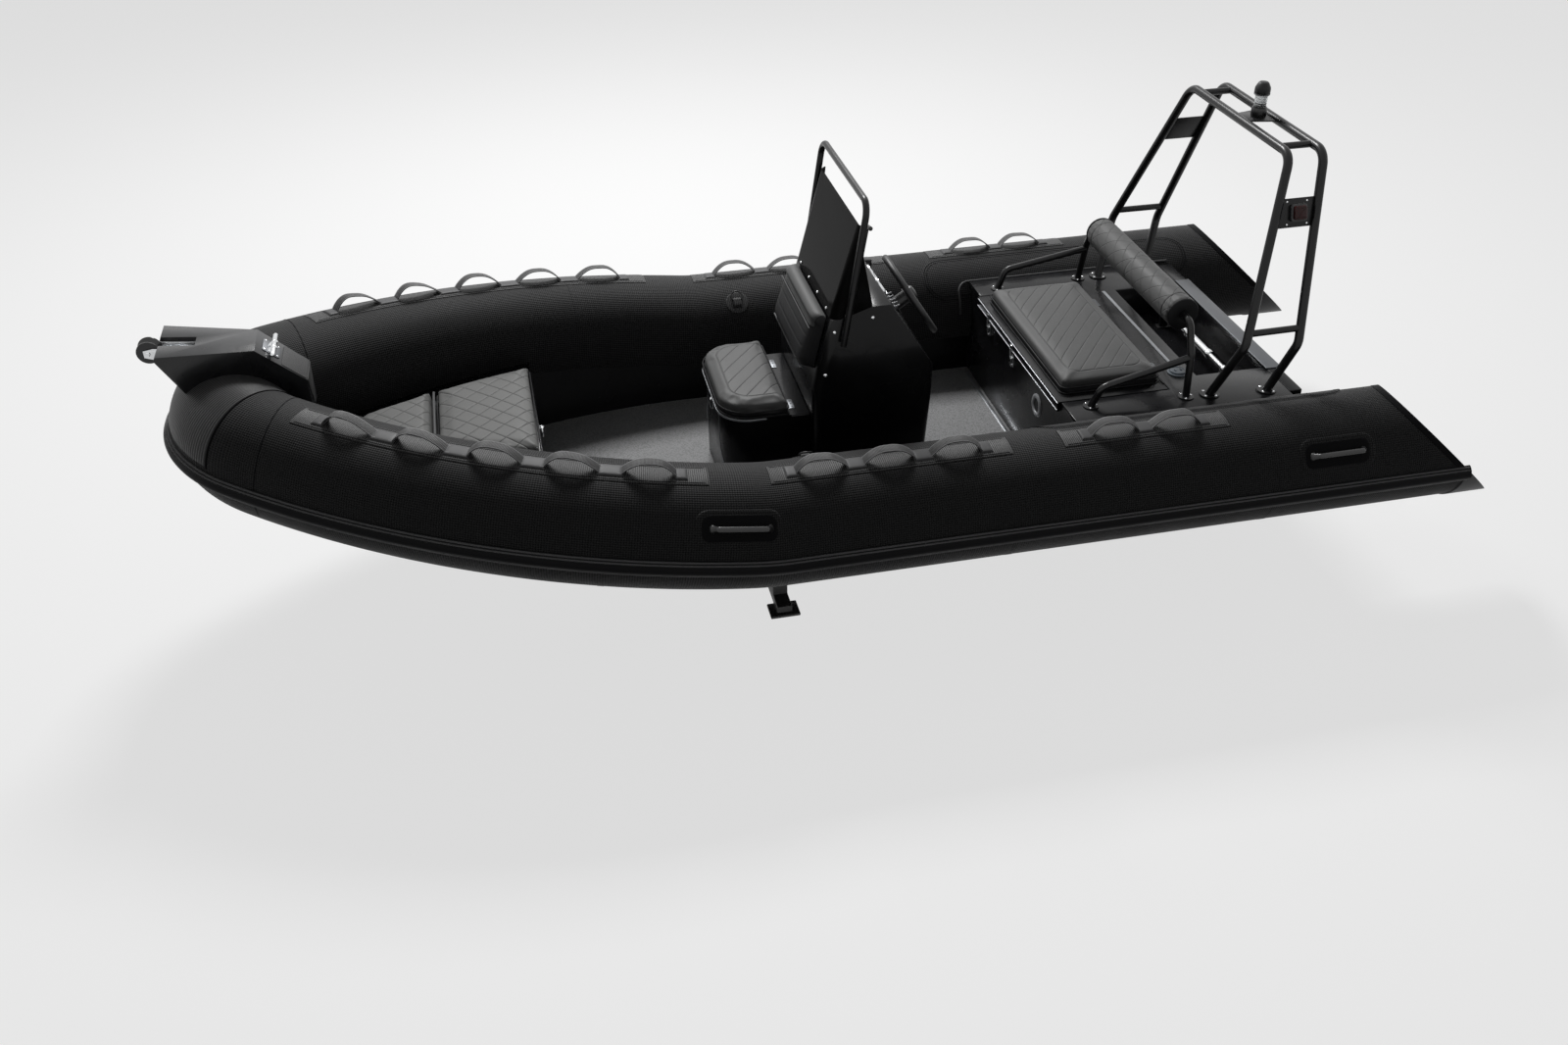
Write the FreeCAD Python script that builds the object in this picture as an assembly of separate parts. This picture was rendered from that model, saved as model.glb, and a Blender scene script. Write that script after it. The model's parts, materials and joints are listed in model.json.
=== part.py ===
import FreeCAD, Part
import math
import os
from collections import namedtuple

from FreeCAD import Placement, Rotation
from FreeCAD import Vector as V

# Rigid inflatable boat of the 16 ft class, standing on its cradle.
# Everything is drawn in boat coordinates: x forward from the tip of the stern tubes, y to port,
# z up from the height of the tubes' centreline at the stern. emit() moves each piece to the final
# frame: +X to the bow, +Z up, the origin on the ground, under the middle of the boat's length.

os.makedirs("parts", exist_ok=True)

X_AXIS = V(1, 0, 0)
Y_AXIS = V(0, 1, 0)
Z_AXIS = V(0, 0, 1)

# %% Driving dimensions (mm)

# Overall sizes
TUBE_RADIUS = 225.0
TUBE_OFFSET = 805.0        # from the keel plane to a tube's centreline
STRAIGHT_LENGTH = 2825.0   # of the tube, from the stern tip to the start of the sheer
KEEL_DEPTH = 560.0         # of the keel's lowest point, under the tubes' centreline
KEEL_CLEARANCE = 60.0      # from the ground to the keel
CRADLE_HEIGHT = KEEL_DEPTH + KEEL_CLEARANCE

# The tube's centreline ahead of the straight: it bends up, then in, then round the nose
SHEER_ANGLE = 7.4
SHEER_RADIUS = 1000.0
BOW_TURN = 35.6
BOW_RADIUS = 2815.0

# Stern ends of the tubes
CUT_TOP_X = 470.0          # where the sloping end meets the tube's top
TIP_LENGTH = 215.0
TIP_WRAP = 4.0

# Fittings on the tubes
RAIL_ANGLE = -7.6          # of the rub rail, from the horizontal
RAIL_HEIGHT = 70.0
RAIL_PROUD = 28.0
PATCH_THICKNESS = 3.0
PAD_WIDTH = 100.0
PAD_OVERHANG = 100.0
STRAP_ANGLE = 84.4
STRAP_LENGTH = 205.0
STRAP_WIDTH = 38.0
STRAP_THICKNESS = 5.0
STRAP_CROWN = 45.0
STRAP_FOOT = 24.0
GRAB_ANGLE = 31.0
GRAB_LENGTH = 212.0
GRAB_PROUD = 42.0
GRAB_BAR = 18.0

# Hull and decks
TRANSOM_X = 700.0          # aft face
TRANSOM_THICKNESS = 55.0
FLOOR_Z = -250.0
FLOOR_THICKNESS = 12.0
LINER_INSET = 206.0        # from the tube's centreline in to the cockpit's side wall
DECK_TOP = 160.0           # of the helm module
TRANSOM_TOP = DECK_TOP      # the transom ends level with the module's deck
MODULE_FRONT = 1647.0
BOW_DECK_TOP = 72.0
BOW_DECK_THICKNESS = 14.0
BOW_WALL_BACK = 1077.0     # from the nose's centreline to the bow wall's fore face
BOW_WALL_THICKNESS = 22.0
WALL = 18.0

# Console
CONSOLE_HALF = 310.0
CONSOLE_FRONT = 2585.0
CONSOLE_LENGTH = 475.0
CONSOLE_AFT = CONSOLE_FRONT - CONSOLE_LENGTH
SCREEN_THICKNESS = 5.0
WHEEL_RADIUS = 170.0
WHEEL_RIM = 13.0

# Seats
HINGE_BARREL = 4.0         # radius of each lid's hinge
BARREL_INSET = 40.0        # of the barrel from the lid's ends
LID_THICKNESS = 12.0
LID_GAP = 0.3
SEAM_GAP = 0.3
HELM_LID_LENGTH = 442.0    # from its hinge to the module's front
HELM_CUSHION_LENGTH = 413.0
HELM_SEAT_HALF = 430.0
HELM_CUSHION = 60.0
FRONT_SEAT_GAP = 79.0      # from the console to the lid's hinge
FRONT_SEAT_LENGTH = 274.0
FRONT_SEAT_HALF = 273.0
FRONT_SEAT_TOP = 112.0     # of the box, under the lid
FRONT_CUSHION = 60.0
BOW_CUSHION = 60.0
BOW_SEAM_BACK = 711.0      # from the nose's centreline to the seam between the bow cushions

# Pipework
ARCH_PIPE = 17.0
ARCH_BEND = 70.0
FRAME_PIPE = 14.0
ROLL_RADIUS = 65.0


# %% Helpers

def box(x0, x1, y0, y1, z0, z1):
    """A block between two corners."""
    return Part.makeBox(x1 - x0, y1 - y0, z1 - z0, V(x0, y0, z0))


def prism(points, direction):
    """A flat outline of straight lines, drawn out along a direction."""
    return Part.Face(Part.makePolygon(points + [points[0]])).extrude(direction)


def side_profile(points, half_width):
    """An outline given as (x, z), as wide as the two halves about the keel plane."""
    corners = [V(x, -half_width, z) for x, z in points]
    return prism(corners, V(0, 2 * half_width, 0))


def plan_profile(points, z0, z1):
    """An outline given as (x, y), between two heights."""
    return prism([V(x, y, z0) for x, y in points], V(0, 0, z1 - z0))


def mirrored(shape):
    """The same piece on the starboard side."""
    return shape.mirror(V(0, 0, 0), Y_AXIS)


def both_sides(shape):
    """A piece and its mirror image, as a list."""
    return [shape, mirrored(shape)]


def joined(pieces):
    """One solid from pieces that touch or overlap."""
    if len(pieces) == 1:
        return pieces[0]
    return pieces[0].multiFuse(pieces[1:]).removeSplitter()


def hinge_barrel(x, z, lid_half):
    """The round barrel of a lid's hinge, on the axis that it turns about."""
    half = lid_half - BARREL_INSET
    return Part.makeCylinder(HINGE_BARREL, 2 * half, V(x, -half, z), Y_AXIS)


def largest(shape):
    """The largest solid of what a cut left."""
    return max(shape.Solids, key=lambda solid: solid.Volume)


def rounded(shape, radius, x0, x1):
    """Round the upright edges of a block that stand between x0 and x1."""
    edges = [edge for edge in shape.Edges
             if abs(edge.tangentAt(edge.FirstParameter).z) > 0.9
             and x0 < edge.BoundBox.Center.x < x1]
    return shape.makeFillet(radius, edges)


def pipe(points, radius, bend):
    """A round bar through the points, with a tangent bend of one radius at each corner."""
    starts = [points[0]]
    ends = []
    pieces = []
    for before, corner, after in zip(points, points[1:], points[2:]):
        arriving = (corner - before).normalize()
        leaving = (after - corner).normalize()
        turn = arriving.getAngle(leaving)
        reach = bend * math.tan(turn / 2)
        entry = corner - arriving * reach
        axis = arriving.cross(leaving).normalize()
        centre = entry + axis.cross(arriving) * bend
        section = Part.Face(Part.Wire(Part.makeCircle(radius, entry, arriving)))
        pieces.append(section.revolve(centre, axis, math.degrees(turn)))
        ends.append(entry)
        starts.append(corner + leaving * reach)
    ends.append(points[-1])
    for start, end in zip(starts, ends):
        pieces.append(Part.makeCylinder(radius, (end - start).Length, start, end - start))
    return joined(pieces)


# %% The tube's centreline, port side

# Each stretch: its length, the axis it turns about and the way from the tube to that axis
Stretch = namedtuple("Stretch", "length axis centre")


def bow_end_offset():
    """How far from the keel plane the centreline is where the nose bend starts."""
    return TUBE_OFFSET - BOW_RADIUS * (1 - math.cos(math.radians(BOW_TURN)))


NOSE_RADIUS = bow_end_offset() / math.cos(math.radians(BOW_TURN))
NOSE_TURN = 90.0 - BOW_TURN
SHEER_LENGTH = SHEER_RADIUS * math.radians(SHEER_ANGLE)
BOW_LENGTH = BOW_RADIUS * math.radians(BOW_TURN)
NOSE_LENGTH = NOSE_RADIUS * math.radians(NOSE_TURN)
PATH_LENGTH = STRAIGHT_LENGTH + SHEER_LENGTH + BOW_LENGTH + NOSE_LENGTH
STRETCHES = [
    Stretch(STRAIGHT_LENGTH, None, V(0, 0, 0)),
    Stretch(SHEER_LENGTH, V(0, -1, 0), V(0, 0, SHEER_RADIUS)),
    Stretch(BOW_LENGTH, V(0, 0, -1), V(0, -BOW_RADIUS, 0)),
    Stretch(NOSE_LENGTH, V(0, 0, -1), V(0, -NOSE_RADIUS, 0)),
]


def moved(shape, place):
    """A copy of a piece, carried by a move."""
    copy = shape.copy()
    copy.Placement = place.multiply(copy.Placement)
    return copy


def moved_along(stretch, length):
    """The move that carries a section some way along one stretch."""
    if stretch.axis is None:
        return Placement(V(length, 0, 0), Rotation())
    angle = math.degrees(length / stretch.centre.Length)
    return Placement(V(0, 0, 0), Rotation(stretch.axis, angle), stretch.centre)


def frame_at(station):
    """The place of a section at a distance along the centreline: its x runs to the bow."""
    place = Placement(V(0, TUBE_OFFSET, 0), Rotation())
    left = station
    for stretch in STRETCHES:
        run = min(left, stretch.length)
        place = place.multiply(moved_along(stretch, run))
        left -= run
        if left <= 0:
            break
    return place


def station_at(x):
    """The distance along the centreline at which it reaches x."""
    low = 0.0
    high = PATH_LENGTH
    while high - low > 0.01:
        middle = (low + high) / 2
        if frame_at(middle).Base.x < x:
            low = middle
        else:
            high = middle
    return low


def sweep(section, start, end):
    """Carry a flat section, drawn about the tube's centre in y and z, along the centreline."""
    pieces = []
    base = 0.0
    for stretch in STRETCHES:
        low = max(start, base)
        high = min(end, base + stretch.length)
        base += stretch.length
        if high - low < 0.01:
            continue
        if stretch.axis is None:
            piece = section.extrude(V(high - low, 0, 0))
        else:
            turn = math.degrees((high - low) / stretch.centre.Length)
            piece = section.revolve(stretch.centre, stretch.axis, turn)
        pieces.append(moved(piece, frame_at(low)))
    return joined(pieces)


def around(angle, radius):
    """A point of a section, at an angle from the outboard horizontal."""
    turn = math.radians(angle)
    return V(0, radius * math.cos(turn), radius * math.sin(turn))


def disc(radius):
    """A round section about the tube's centre."""
    return Part.Face(Part.Wire(Part.makeCircle(radius, V(0, 0, 0), X_AXIS)))


def band(from_angle, to_angle, inner, outer):
    """A section that lies on the tube between two angles."""
    middle = (from_angle + to_angle) / 2
    edges = [
        Part.Arc(around(from_angle, inner), around(middle, inner), around(to_angle, inner)).toShape(),
        Part.makeLine(around(to_angle, inner), around(to_angle, outer)),
        Part.Arc(around(to_angle, outer), around(middle, outer), around(from_angle, outer)).toShape(),
        Part.makeLine(around(from_angle, outer), around(from_angle, inner)),
    ]
    return Part.Face(Part.Wire(edges))


def on_tube(shape, station, angle, height):
    """Stand a piece, drawn on the xy plane about its own origin, on the tube's skin."""
    stand = Placement(around(angle, TUBE_RADIUS + height), Rotation(X_AXIS, angle - 90))
    return moved(shape, frame_at(station).multiply(stand))


BOW_START_X = frame_at(STRAIGHT_LENGTH + SHEER_LENGTH).Base.x
NOSE_X = frame_at(PATH_LENGTH).Base.x
NOSE_Z = frame_at(PATH_LENGTH).Base.z
NOSE_TIP_X = NOSE_X + TUBE_RADIUS
NOSE_TOP_Z = NOSE_Z + TUBE_RADIUS


def edge_y(x, inset):
    """Half the width between the tubes at x, on a line that keeps an inset from the centreline."""
    if x <= BOW_START_X:
        return TUBE_OFFSET - inset
    run = (x - BOW_START_X) / math.cos(math.radians(SHEER_ANGLE))
    if run < (BOW_RADIUS - inset) * math.sin(math.radians(BOW_TURN)):
        return TUBE_OFFSET - BOW_RADIUS + math.sqrt((BOW_RADIUS - inset) ** 2 - run ** 2)
    run -= (BOW_RADIUS - NOSE_RADIUS) * math.sin(math.radians(BOW_TURN))
    return math.sqrt((NOSE_RADIUS - inset) ** 2 - run ** 2)


def plan_block(inset, x0, x1, z0, z1):
    """A block from one side to the other between the tubes, whose sides follow their curve."""
    bend_x = min(max(BOW_START_X, x0), x1)
    middle_x = (bend_x + x1) / 2
    corners = [V(x0, -edge_y(x0, inset), z0), V(x0, edge_y(x0, inset), z0)]
    edges = [Part.makeLine(corners[0], corners[1])]
    last = corners[1]
    if bend_x > x0:
        edges.append(Part.makeLine(last, V(bend_x, edge_y(bend_x, inset), z0)))
        last = V(bend_x, edge_y(bend_x, inset), z0)
    if x1 > bend_x:
        through = V(middle_x, edge_y(middle_x, inset), z0)
        end = V(x1, edge_y(x1, inset), z0)
        edges.append(Part.Arc(last, through, end).toShape())
        last = end
    edges.append(Part.makeLine(last, V(x1, -last.y, z0)))
    last = V(x1, -last.y, z0)
    if x1 > bend_x:
        through = V(middle_x, -edge_y(middle_x, inset), z0)
        start = V(bend_x, -edge_y(bend_x, inset), z0)
        edges.append(Part.Arc(last, through, start).toShape())
        last = start
    if bend_x > x0:
        edges.append(Part.makeLine(last, corners[0]))
    return Part.Face(Part.Wire(edges)).extrude(V(0, 0, z1 - z0))


# %% Handing the pieces over

ROLLER_REACH = 6.0         # of its axle, ahead of the nose
ROLLER_RISE = 81.2         # of its axle, over the nose
ROLLER_RADIUS = 42.0
ROLLER_X = NOSE_TIP_X + ROLLER_REACH
ROLLER_Z = NOSE_TOP_Z + ROLLER_RISE
FRONT_X = max(ROLLER_X + ROLLER_RADIUS, NOSE_TIP_X + RAIL_PROUD)
ORIGIN = V(FRONT_X / 2, 0, -CRADLE_HEIGHT)


def emit(node, shapes):
    """Write one node: a solid, or several solids that don't touch."""
    pieces = shapes if isinstance(shapes, list) else [shapes]
    solids = [solid for piece in pieces for solid in piece.Solids]
    shape = solids[0] if len(solids) == 1 else Part.Compound(solids)
    shape = shape.copy()
    shape.translate(V(0, 0, 0) - ORIGIN)
    valid = all(solid.isValid() for solid in solids)
    volume = sum(solid.Volume for solid in solids) / 1e9
    print(f"{node:24s} solids {len(solids):2d}  valid {valid}  volume {volume:.5f} m3")
    shape.exportStep(f"parts/{node}.step")


# %% Tubes, their stern tips, rub rails and patches

CUT_FOOT = 5.0             # height of the sloping end's foot, over the tube's underside
CUT_REACH = 60.0


def stern_cutter():
    """What the sloping stern end takes off, from the top of the tube down to its tip."""
    bottom = V(0, 0, CUT_FOOT - TUBE_RADIUS)
    top = V(CUT_TOP_X, 0, TUBE_RADIUS)
    slope = (top - bottom).normalize() * CUT_REACH
    low = bottom - slope
    high = top + slope
    points = [(low.x, low.z), (high.x, high.z), (low.x, high.z)]
    return side_profile(points, TUBE_OFFSET + 2 * TUBE_RADIUS)


stern_cut = stern_cutter()
tube = sweep(disc(TUBE_RADIUS), TIP_LENGTH, PATH_LENGTH).cut(stern_cut)
tubes = both_sides(tube)
emit("tube_port", tube)
emit("tube_starboard", mirrored(tube))

tip = sweep(disc(TUBE_RADIUS + TIP_WRAP), 0, TIP_LENGTH).cut(stern_cut)
emit("tube_tips", both_sides(tip))


def rail_section():
    """A rubber strake with a round nose, on the tube's outer side."""
    half = math.degrees(RAIL_HEIGHT / 2 / TUBE_RADIUS)
    foot = around(half, TUBE_RADIUS)
    shoulder = V(0, TUBE_RADIUS + RAIL_PROUD * 0.5, foot.z * 0.8)
    low_foot = V(0, foot.y, -foot.z)
    low_shoulder = V(0, shoulder.y, -shoulder.z)
    edges = [
        Part.Arc(low_foot, V(0, TUBE_RADIUS, 0), foot).toShape(),
        Part.makeLine(foot, shoulder),
        Part.Arc(shoulder, V(0, TUBE_RADIUS + RAIL_PROUD, 0), low_shoulder).toShape(),
        Part.makeLine(low_shoulder, low_foot),
    ]
    section = Part.Face(Part.Wire(edges))
    section.rotate(V(0, 0, 0), X_AXIS, RAIL_ANGLE)
    return section


rub_rail = sweep(rail_section(), TIP_LENGTH, PATH_LENGTH)
emit("rub_rail_port", rub_rail)
emit("rub_rail_starboard", mirrored(rub_rail))

# The rubber patch that wraps the nose, above the rail, from both sides
NOSE_PATCH_LENGTH = 265.0
NOSE_PATCH_FROM = 6.0      # degrees round the tube, from the outboard horizontal
NOSE_PATCH_TO = 206.0
patch_skin = TUBE_RADIUS + PATCH_THICKNESS
patch_band = band(NOSE_PATCH_FROM, NOSE_PATCH_TO, TUBE_RADIUS, patch_skin)
nose_half = sweep(patch_band, PATH_LENGTH - NOSE_PATCH_LENGTH, PATH_LENGTH)
nose_patch = joined(both_sides(nose_half))
emit("nose_patch", nose_patch)

# %% Strap handles along the tubes' crowns, and their pads

# Each group of straps: where its first strap starts along the tube, how many, and their pitch
BOW_STRAPS_BACK = 1819.0   # along the tube, from the bow group's first strap to the nose
STRAP_LIFT = 0.1           # of a strap's feet over its pad
StrapGroup = namedtuple("StrapGroup", "start count pitch")
STRAP_GROUPS = [
    StrapGroup(1251.0, 2, 236.0),
    StrapGroup(2086.0, 3, 246.0),
    StrapGroup(PATH_LENGTH - BOW_STRAPS_BACK, 5, 260.0),
]


def strap():
    """A webbing loop that stands on its two feet, drawn along x about its middle."""
    end = STRAP_LENGTH / 2
    foot = end - STRAP_FOOT
    heel = foot + 0.4 * STRAP_THICKNESS
    side = -STRAP_WIDTH / 2
    thick = STRAP_THICKNESS
    edges = [
        Part.makeLine(V(-end, side, 0), V(-end, side, thick)),
        Part.makeLine(V(-end, side, thick), V(-foot, side, thick)),
        Part.Arc(V(-foot, side, thick), V(0, side, STRAP_CROWN), V(foot, side, thick)).toShape(),
        Part.makeLine(V(foot, side, thick), V(end, side, thick)),
        Part.makeLine(V(end, side, thick), V(end, side, 0)),
        Part.makeLine(V(end, side, 0), V(heel, side, 0)),
        Part.Arc(V(heel, side, 0), V(0, side, STRAP_CROWN - thick), V(-heel, side, 0)).toShape(),
        Part.makeLine(V(-heel, side, 0), V(-end, side, 0)),
    ]
    return Part.Face(Part.Wire(edges)).extrude(V(0, STRAP_WIDTH, 0))


pads = []
straps = []
pad_half_angle = math.degrees(PAD_WIDTH / 2 / TUBE_RADIUS)
pad_band = band(STRAP_ANGLE - pad_half_angle, STRAP_ANGLE + pad_half_angle, TUBE_RADIUS, patch_skin)
for group in STRAP_GROUPS:
    group_end = group.start + (group.count - 1) * group.pitch + STRAP_LENGTH
    pads.append(sweep(pad_band, group.start - PAD_OVERHANG, group_end + PAD_OVERHANG))
    for number in range(group.count):
        middle = group.start + number * group.pitch + STRAP_LENGTH / 2
        straps.append(on_tube(strap(), middle, STRAP_ANGLE, PATCH_THICKNESS + STRAP_LIFT))
emit("strap_pads", pads + [mirrored(pad) for pad in pads])
emit("strap_handles_port", straps)
emit("strap_handles_starboard", [mirrored(loop) for loop in straps])

# %% Moulded grab handles on the tubes' outer sides, and lashing rings on their inner sides

GRAB_PAD_LENGTH = 300.0
GRAB_PAD_WIDTH = 130.0
GRAB_MIDDLES = [768.0, 3012.0]
grab_half_angle = math.degrees(GRAB_PAD_WIDTH / 2 / TUBE_RADIUS)
grab_band = band(GRAB_ANGLE - grab_half_angle, GRAB_ANGLE + grab_half_angle, TUBE_RADIUS, patch_skin)


GRAB_LEAN = 16.0
GRAB_BEND = 20.0


def grab_bar():
    """A handle's bar, drawn along x about its middle, whose legs lean in and end flat."""
    end = (GRAB_LENGTH - GRAB_BAR) / 2
    top = end - GRAB_LEAN
    rise = GRAB_PROUD - GRAB_BAR / 2
    root = end + GRAB_BAR * GRAB_LEAN / rise
    corners = [V(-root, 0, -GRAB_BAR), V(-top, 0, rise), V(top, 0, rise), V(root, 0, -GRAB_BAR)]
    bar = pipe(corners, GRAB_BAR / 2, GRAB_BEND)
    return bar.cut(box(-GRAB_LENGTH, GRAB_LENGTH, -GRAB_BAR, GRAB_BAR, -3 * GRAB_BAR, 0))


grabs = []
for middle in GRAB_MIDDLES:
    pad = sweep(grab_band, middle - GRAB_PAD_LENGTH / 2, middle + GRAB_PAD_LENGTH / 2)
    grabs.append(joined([pad, on_tube(grab_bar(), middle, GRAB_ANGLE, PATCH_THICKNESS / 2)]))
emit("side_handles", grabs + [mirrored(grab) for grab in grabs])

LASHING_X = 2700.0
LASHING_ANGLE = 132.0
LASHING_PAD = 50.0         # half of its length and of its width
RING_RADIUS = 24.0
RING_BAR = 4.0
RING_RISE = 6.0
TAB_LENGTH = 32.0
TAB_WIDTH = 44.0
TAB_HEIGHT = 11.0


def lashing_ring():
    """A ring that lies on its tab."""
    tab = box(-TAB_LENGTH / 2, TAB_LENGTH / 2, -TAB_WIDTH / 2, TAB_WIDTH / 2, 0, TAB_HEIGHT)
    ring = Part.makeTorus(RING_RADIUS, RING_BAR, V(0, RING_RADIUS, RING_RISE), Z_AXIS)
    return joined([tab, ring])


lashing_half_angle = math.degrees(LASHING_PAD / TUBE_RADIUS)
lashing_band = band(LASHING_ANGLE - lashing_half_angle, LASHING_ANGLE + lashing_half_angle,
                    TUBE_RADIUS, patch_skin)
lashing_pad = sweep(lashing_band, LASHING_X - LASHING_PAD, LASHING_X + LASHING_PAD)
lashing = joined([lashing_pad, on_tube(lashing_ring(), LASHING_X, LASHING_ANGLE, PATCH_THICKNESS - 1)])
emit("lashing_rings", both_sides(lashing))

# %% Hull

# Each station of the bottom: x, the keel's rise over its lowest point, and the chine's inset from
# the tube's centreline and its height
HullStation = namedtuple("HullStation", "x rise inset chine_z")
HULL_STATIONS = [
    HullStation(TRANSOM_X, 15, 190, -330),
    HullStation(2000, 0, 185, -320),
    HullStation(NOSE_X - 1721, 15, 193, -320),
    HullStation(NOSE_X - 1121, 65, 175, -290),
    HullStation(NOSE_X - 621, 185, 142, -190),
    HullStation(NOSE_X - 271, 345, 135, -90),
    HullStation(NOSE_X - 121, 465, 117, -60),
]
STEM_HALF = 14.0
STEM_REACH = 14.0          # ahead of the nose's centreline
STEM_RISE = 95.0
STEM_LAP = 40.0
HULL_LAP = 112.5           # from the tube's centreline in to where the side meets the tube
BOW_WALL_X = NOSE_X - BOW_WALL_BACK
BOW_SEAM_X = NOSE_X - BOW_SEAM_BACK
BOW_DECK_BASE = BOW_DECK_TOP - BOW_DECK_THICKNESS
CUT_MARGIN = 1.0           # that a cutting block passes the face it opens


def hull_section(station):
    """Keel, chine and side, up to the underside of the bow deck."""
    side_y = edge_y(station.x, HULL_LAP)
    side_z = frame_at(station_at(station.x)).Base.z - math.sqrt(TUBE_RADIUS ** 2 - HULL_LAP ** 2)
    half = [
        (edge_y(station.x, station.inset), station.chine_z),
        (side_y, side_z),
        (side_y, BOW_DECK_BASE),
    ]
    port = [V(station.x, y, z) for y, z in half]
    starboard = [V(station.x, -y, z) for y, z in reversed(half)]
    keel = V(station.x, 0, station.rise - KEEL_DEPTH)
    return Part.makePolygon([keel] + port + starboard + [keel])


bottom = Part.makeLoft([hull_section(station) for station in HULL_STATIONS], True, True)
stem_x = HULL_STATIONS[-1].x
stem_z = HULL_STATIONS[-1].rise - KEEL_DEPTH
stem_points = [
    (stem_x - STEM_LAP, stem_z - 30), (stem_x, stem_z), (NOSE_X + STEM_REACH, stem_z + STEM_RISE),
    (NOSE_X + STEM_REACH, BOW_DECK_BASE), (stem_x - STEM_LAP, BOW_DECK_BASE),
]
stem = side_profile(stem_points, STEM_HALF)
cockpit = plan_block(LINER_INSET, TRANSOM_X - CUT_MARGIN, BOW_WALL_X, FLOOR_Z - FLOOR_THICKNESS, DECK_TOP)
LOCKER_INSET = 262.0
LOCKER_FLOOR = -150.0
LOCKER_SETBACK = 40.0      # from the seam between the bow cushions
BOW_LOCKER_FRONT = BOW_SEAM_X - LOCKER_SETBACK
bow_locker = plan_block(LOCKER_INSET, BOW_WALL_X - CUT_MARGIN, BOW_LOCKER_FRONT, LOCKER_FLOOR, DECK_TOP)
hull = joined([bottom, stem]).cut(cockpit).cut(bow_locker)
for side in tubes:
    hull = hull.cut(side)
emit("hull", largest(hull))

floor_plate = plan_block(LINER_INSET, TRANSOM_X + TRANSOM_THICKNESS, BOW_WALL_X - BOW_WALL_THICKNESS,
                         FLOOR_Z - FLOOR_THICKNESS, FLOOR_Z)
emit("cockpit_floor", floor_plate)

transom_front = TRANSOM_X + TRANSOM_THICKNESS
side_y = TUBE_OFFSET - LINER_INSET
transom = box(TRANSOM_X, transom_front, -side_y, side_y, FLOOR_Z - FLOOR_THICKNESS, TRANSOM_TOP)
for side in tubes:
    transom = transom.cut(side)
emit("transom", transom)

CAP_HALF = 420.0
CAP_THICKNESS = 6.0
CAP_LIP = 5.0
cap = box(TRANSOM_X - CAP_LIP, transom_front + CAP_LIP, -CAP_HALF, CAP_HALF,
          TRANSOM_TOP, TRANSOM_TOP + CAP_THICKNESS)
emit("transom_cap", cap)

EYE_Y = 300.0
EYE_Z = -20.0
EYE_HOLE = 11.0
EYE_BASE = 6.0
EYE_PLATE = 10.0
EYE_REACH = 55.0


def towing_eye():
    """A plate eye on the transom, drilled athwartships."""
    base_x = TRANSOM_X - EYE_BASE
    half = EYE_PLATE / 2
    base = box(base_x, TRANSOM_X, -25, 25, EYE_Z - 40, EYE_Z + 40)
    plate = box(TRANSOM_X - EYE_REACH, base_x, -half, half, EYE_Z - 30, EYE_Z + 30)
    hole = Part.makeCylinder(EYE_HOLE, 2 * EYE_PLATE, V(TRANSOM_X - 32, -EYE_PLATE, EYE_Z), Y_AXIS)
    return joined([base, plate]).cut(hole)


eyes = []
for side in (-1, 1):
    eye = towing_eye()
    eye.translate(V(0, side * EYE_Y, 0))
    eyes.append(eye)
emit("towing_eyes", eyes)

# %% Helm module: side decks, seat locker and the well ahead of the transom

WELL_FRONT = TRANSOM_X + 350
WELL_HALF = 400.0
WELL_FLOOR = 20.0
LID_MARGIN = 47.0          # of the lid beyond the cushion, on each side
LID_HALF = HELM_SEAT_HALF + LID_MARGIN
LID_SIDE_GAP = 5.0
LID_AFT_GAP = HINGE_BARREL + 1.0
HINGE_X = MODULE_FRONT - HELM_LID_LENGTH
LID_LIP = 42.0
LOCKER_RIM = 37.0          # that the lid rests on, round the locker
RIM_Z = DECK_TOP - LID_THICKNESS
FLANGE_INSET = 165.0       # of the flange that laps the tubes, from their centreline
FLANGE_DEPTH = 100.0
DECK_EDGE = TUBE_OFFSET - math.sqrt(TUBE_RADIUS ** 2 - DECK_TOP ** 2)

flange_half = TUBE_OFFSET - FLANGE_INSET
module = joined([
    plan_block(LINER_INSET, transom_front, MODULE_FRONT, FLOOR_Z, DECK_TOP),
    box(transom_front, MODULE_FRONT, -flange_half, flange_half, DECK_TOP - FLANGE_DEPTH, DECK_TOP),
])
locker_half = LID_HALF - LOCKER_RIM
over_deck = DECK_TOP + CUT_MARGIN
seat_locker = box(HINGE_X + 35, MODULE_FRONT - WALL, -locker_half, locker_half, FLOOR_Z + WALL, over_deck)
rebate_half = LID_HALF + LID_SIDE_GAP
rebate = box(HINGE_X - LID_AFT_GAP, MODULE_FRONT + CUT_MARGIN, -rebate_half, rebate_half, RIM_Z, over_deck)
well = box(transom_front - CUT_MARGIN, WELL_FRONT, -WELL_HALF, WELL_HALF, WELL_FLOOR, over_deck)
for gap in tubes + [seat_locker, rebate, well]:
    module = module.cut(gap)
emit("helm_module", module)

LIP_GAP = 2.0
LIP_THICKNESS = 10.0
lip_aft = MODULE_FRONT + LIP_GAP
lid_front = lip_aft + LIP_THICKNESS
helm_lid = joined([
    box(HINGE_X, lid_front, -LID_HALF, LID_HALF, RIM_Z + LID_GAP, DECK_TOP),
    box(lip_aft, lid_front, -LID_HALF, LID_HALF, DECK_TOP - LID_LIP, DECK_TOP),
    hinge_barrel(HINGE_X, DECK_TOP, LID_HALF),
])
emit("helm_seat_lid", helm_lid)

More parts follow.
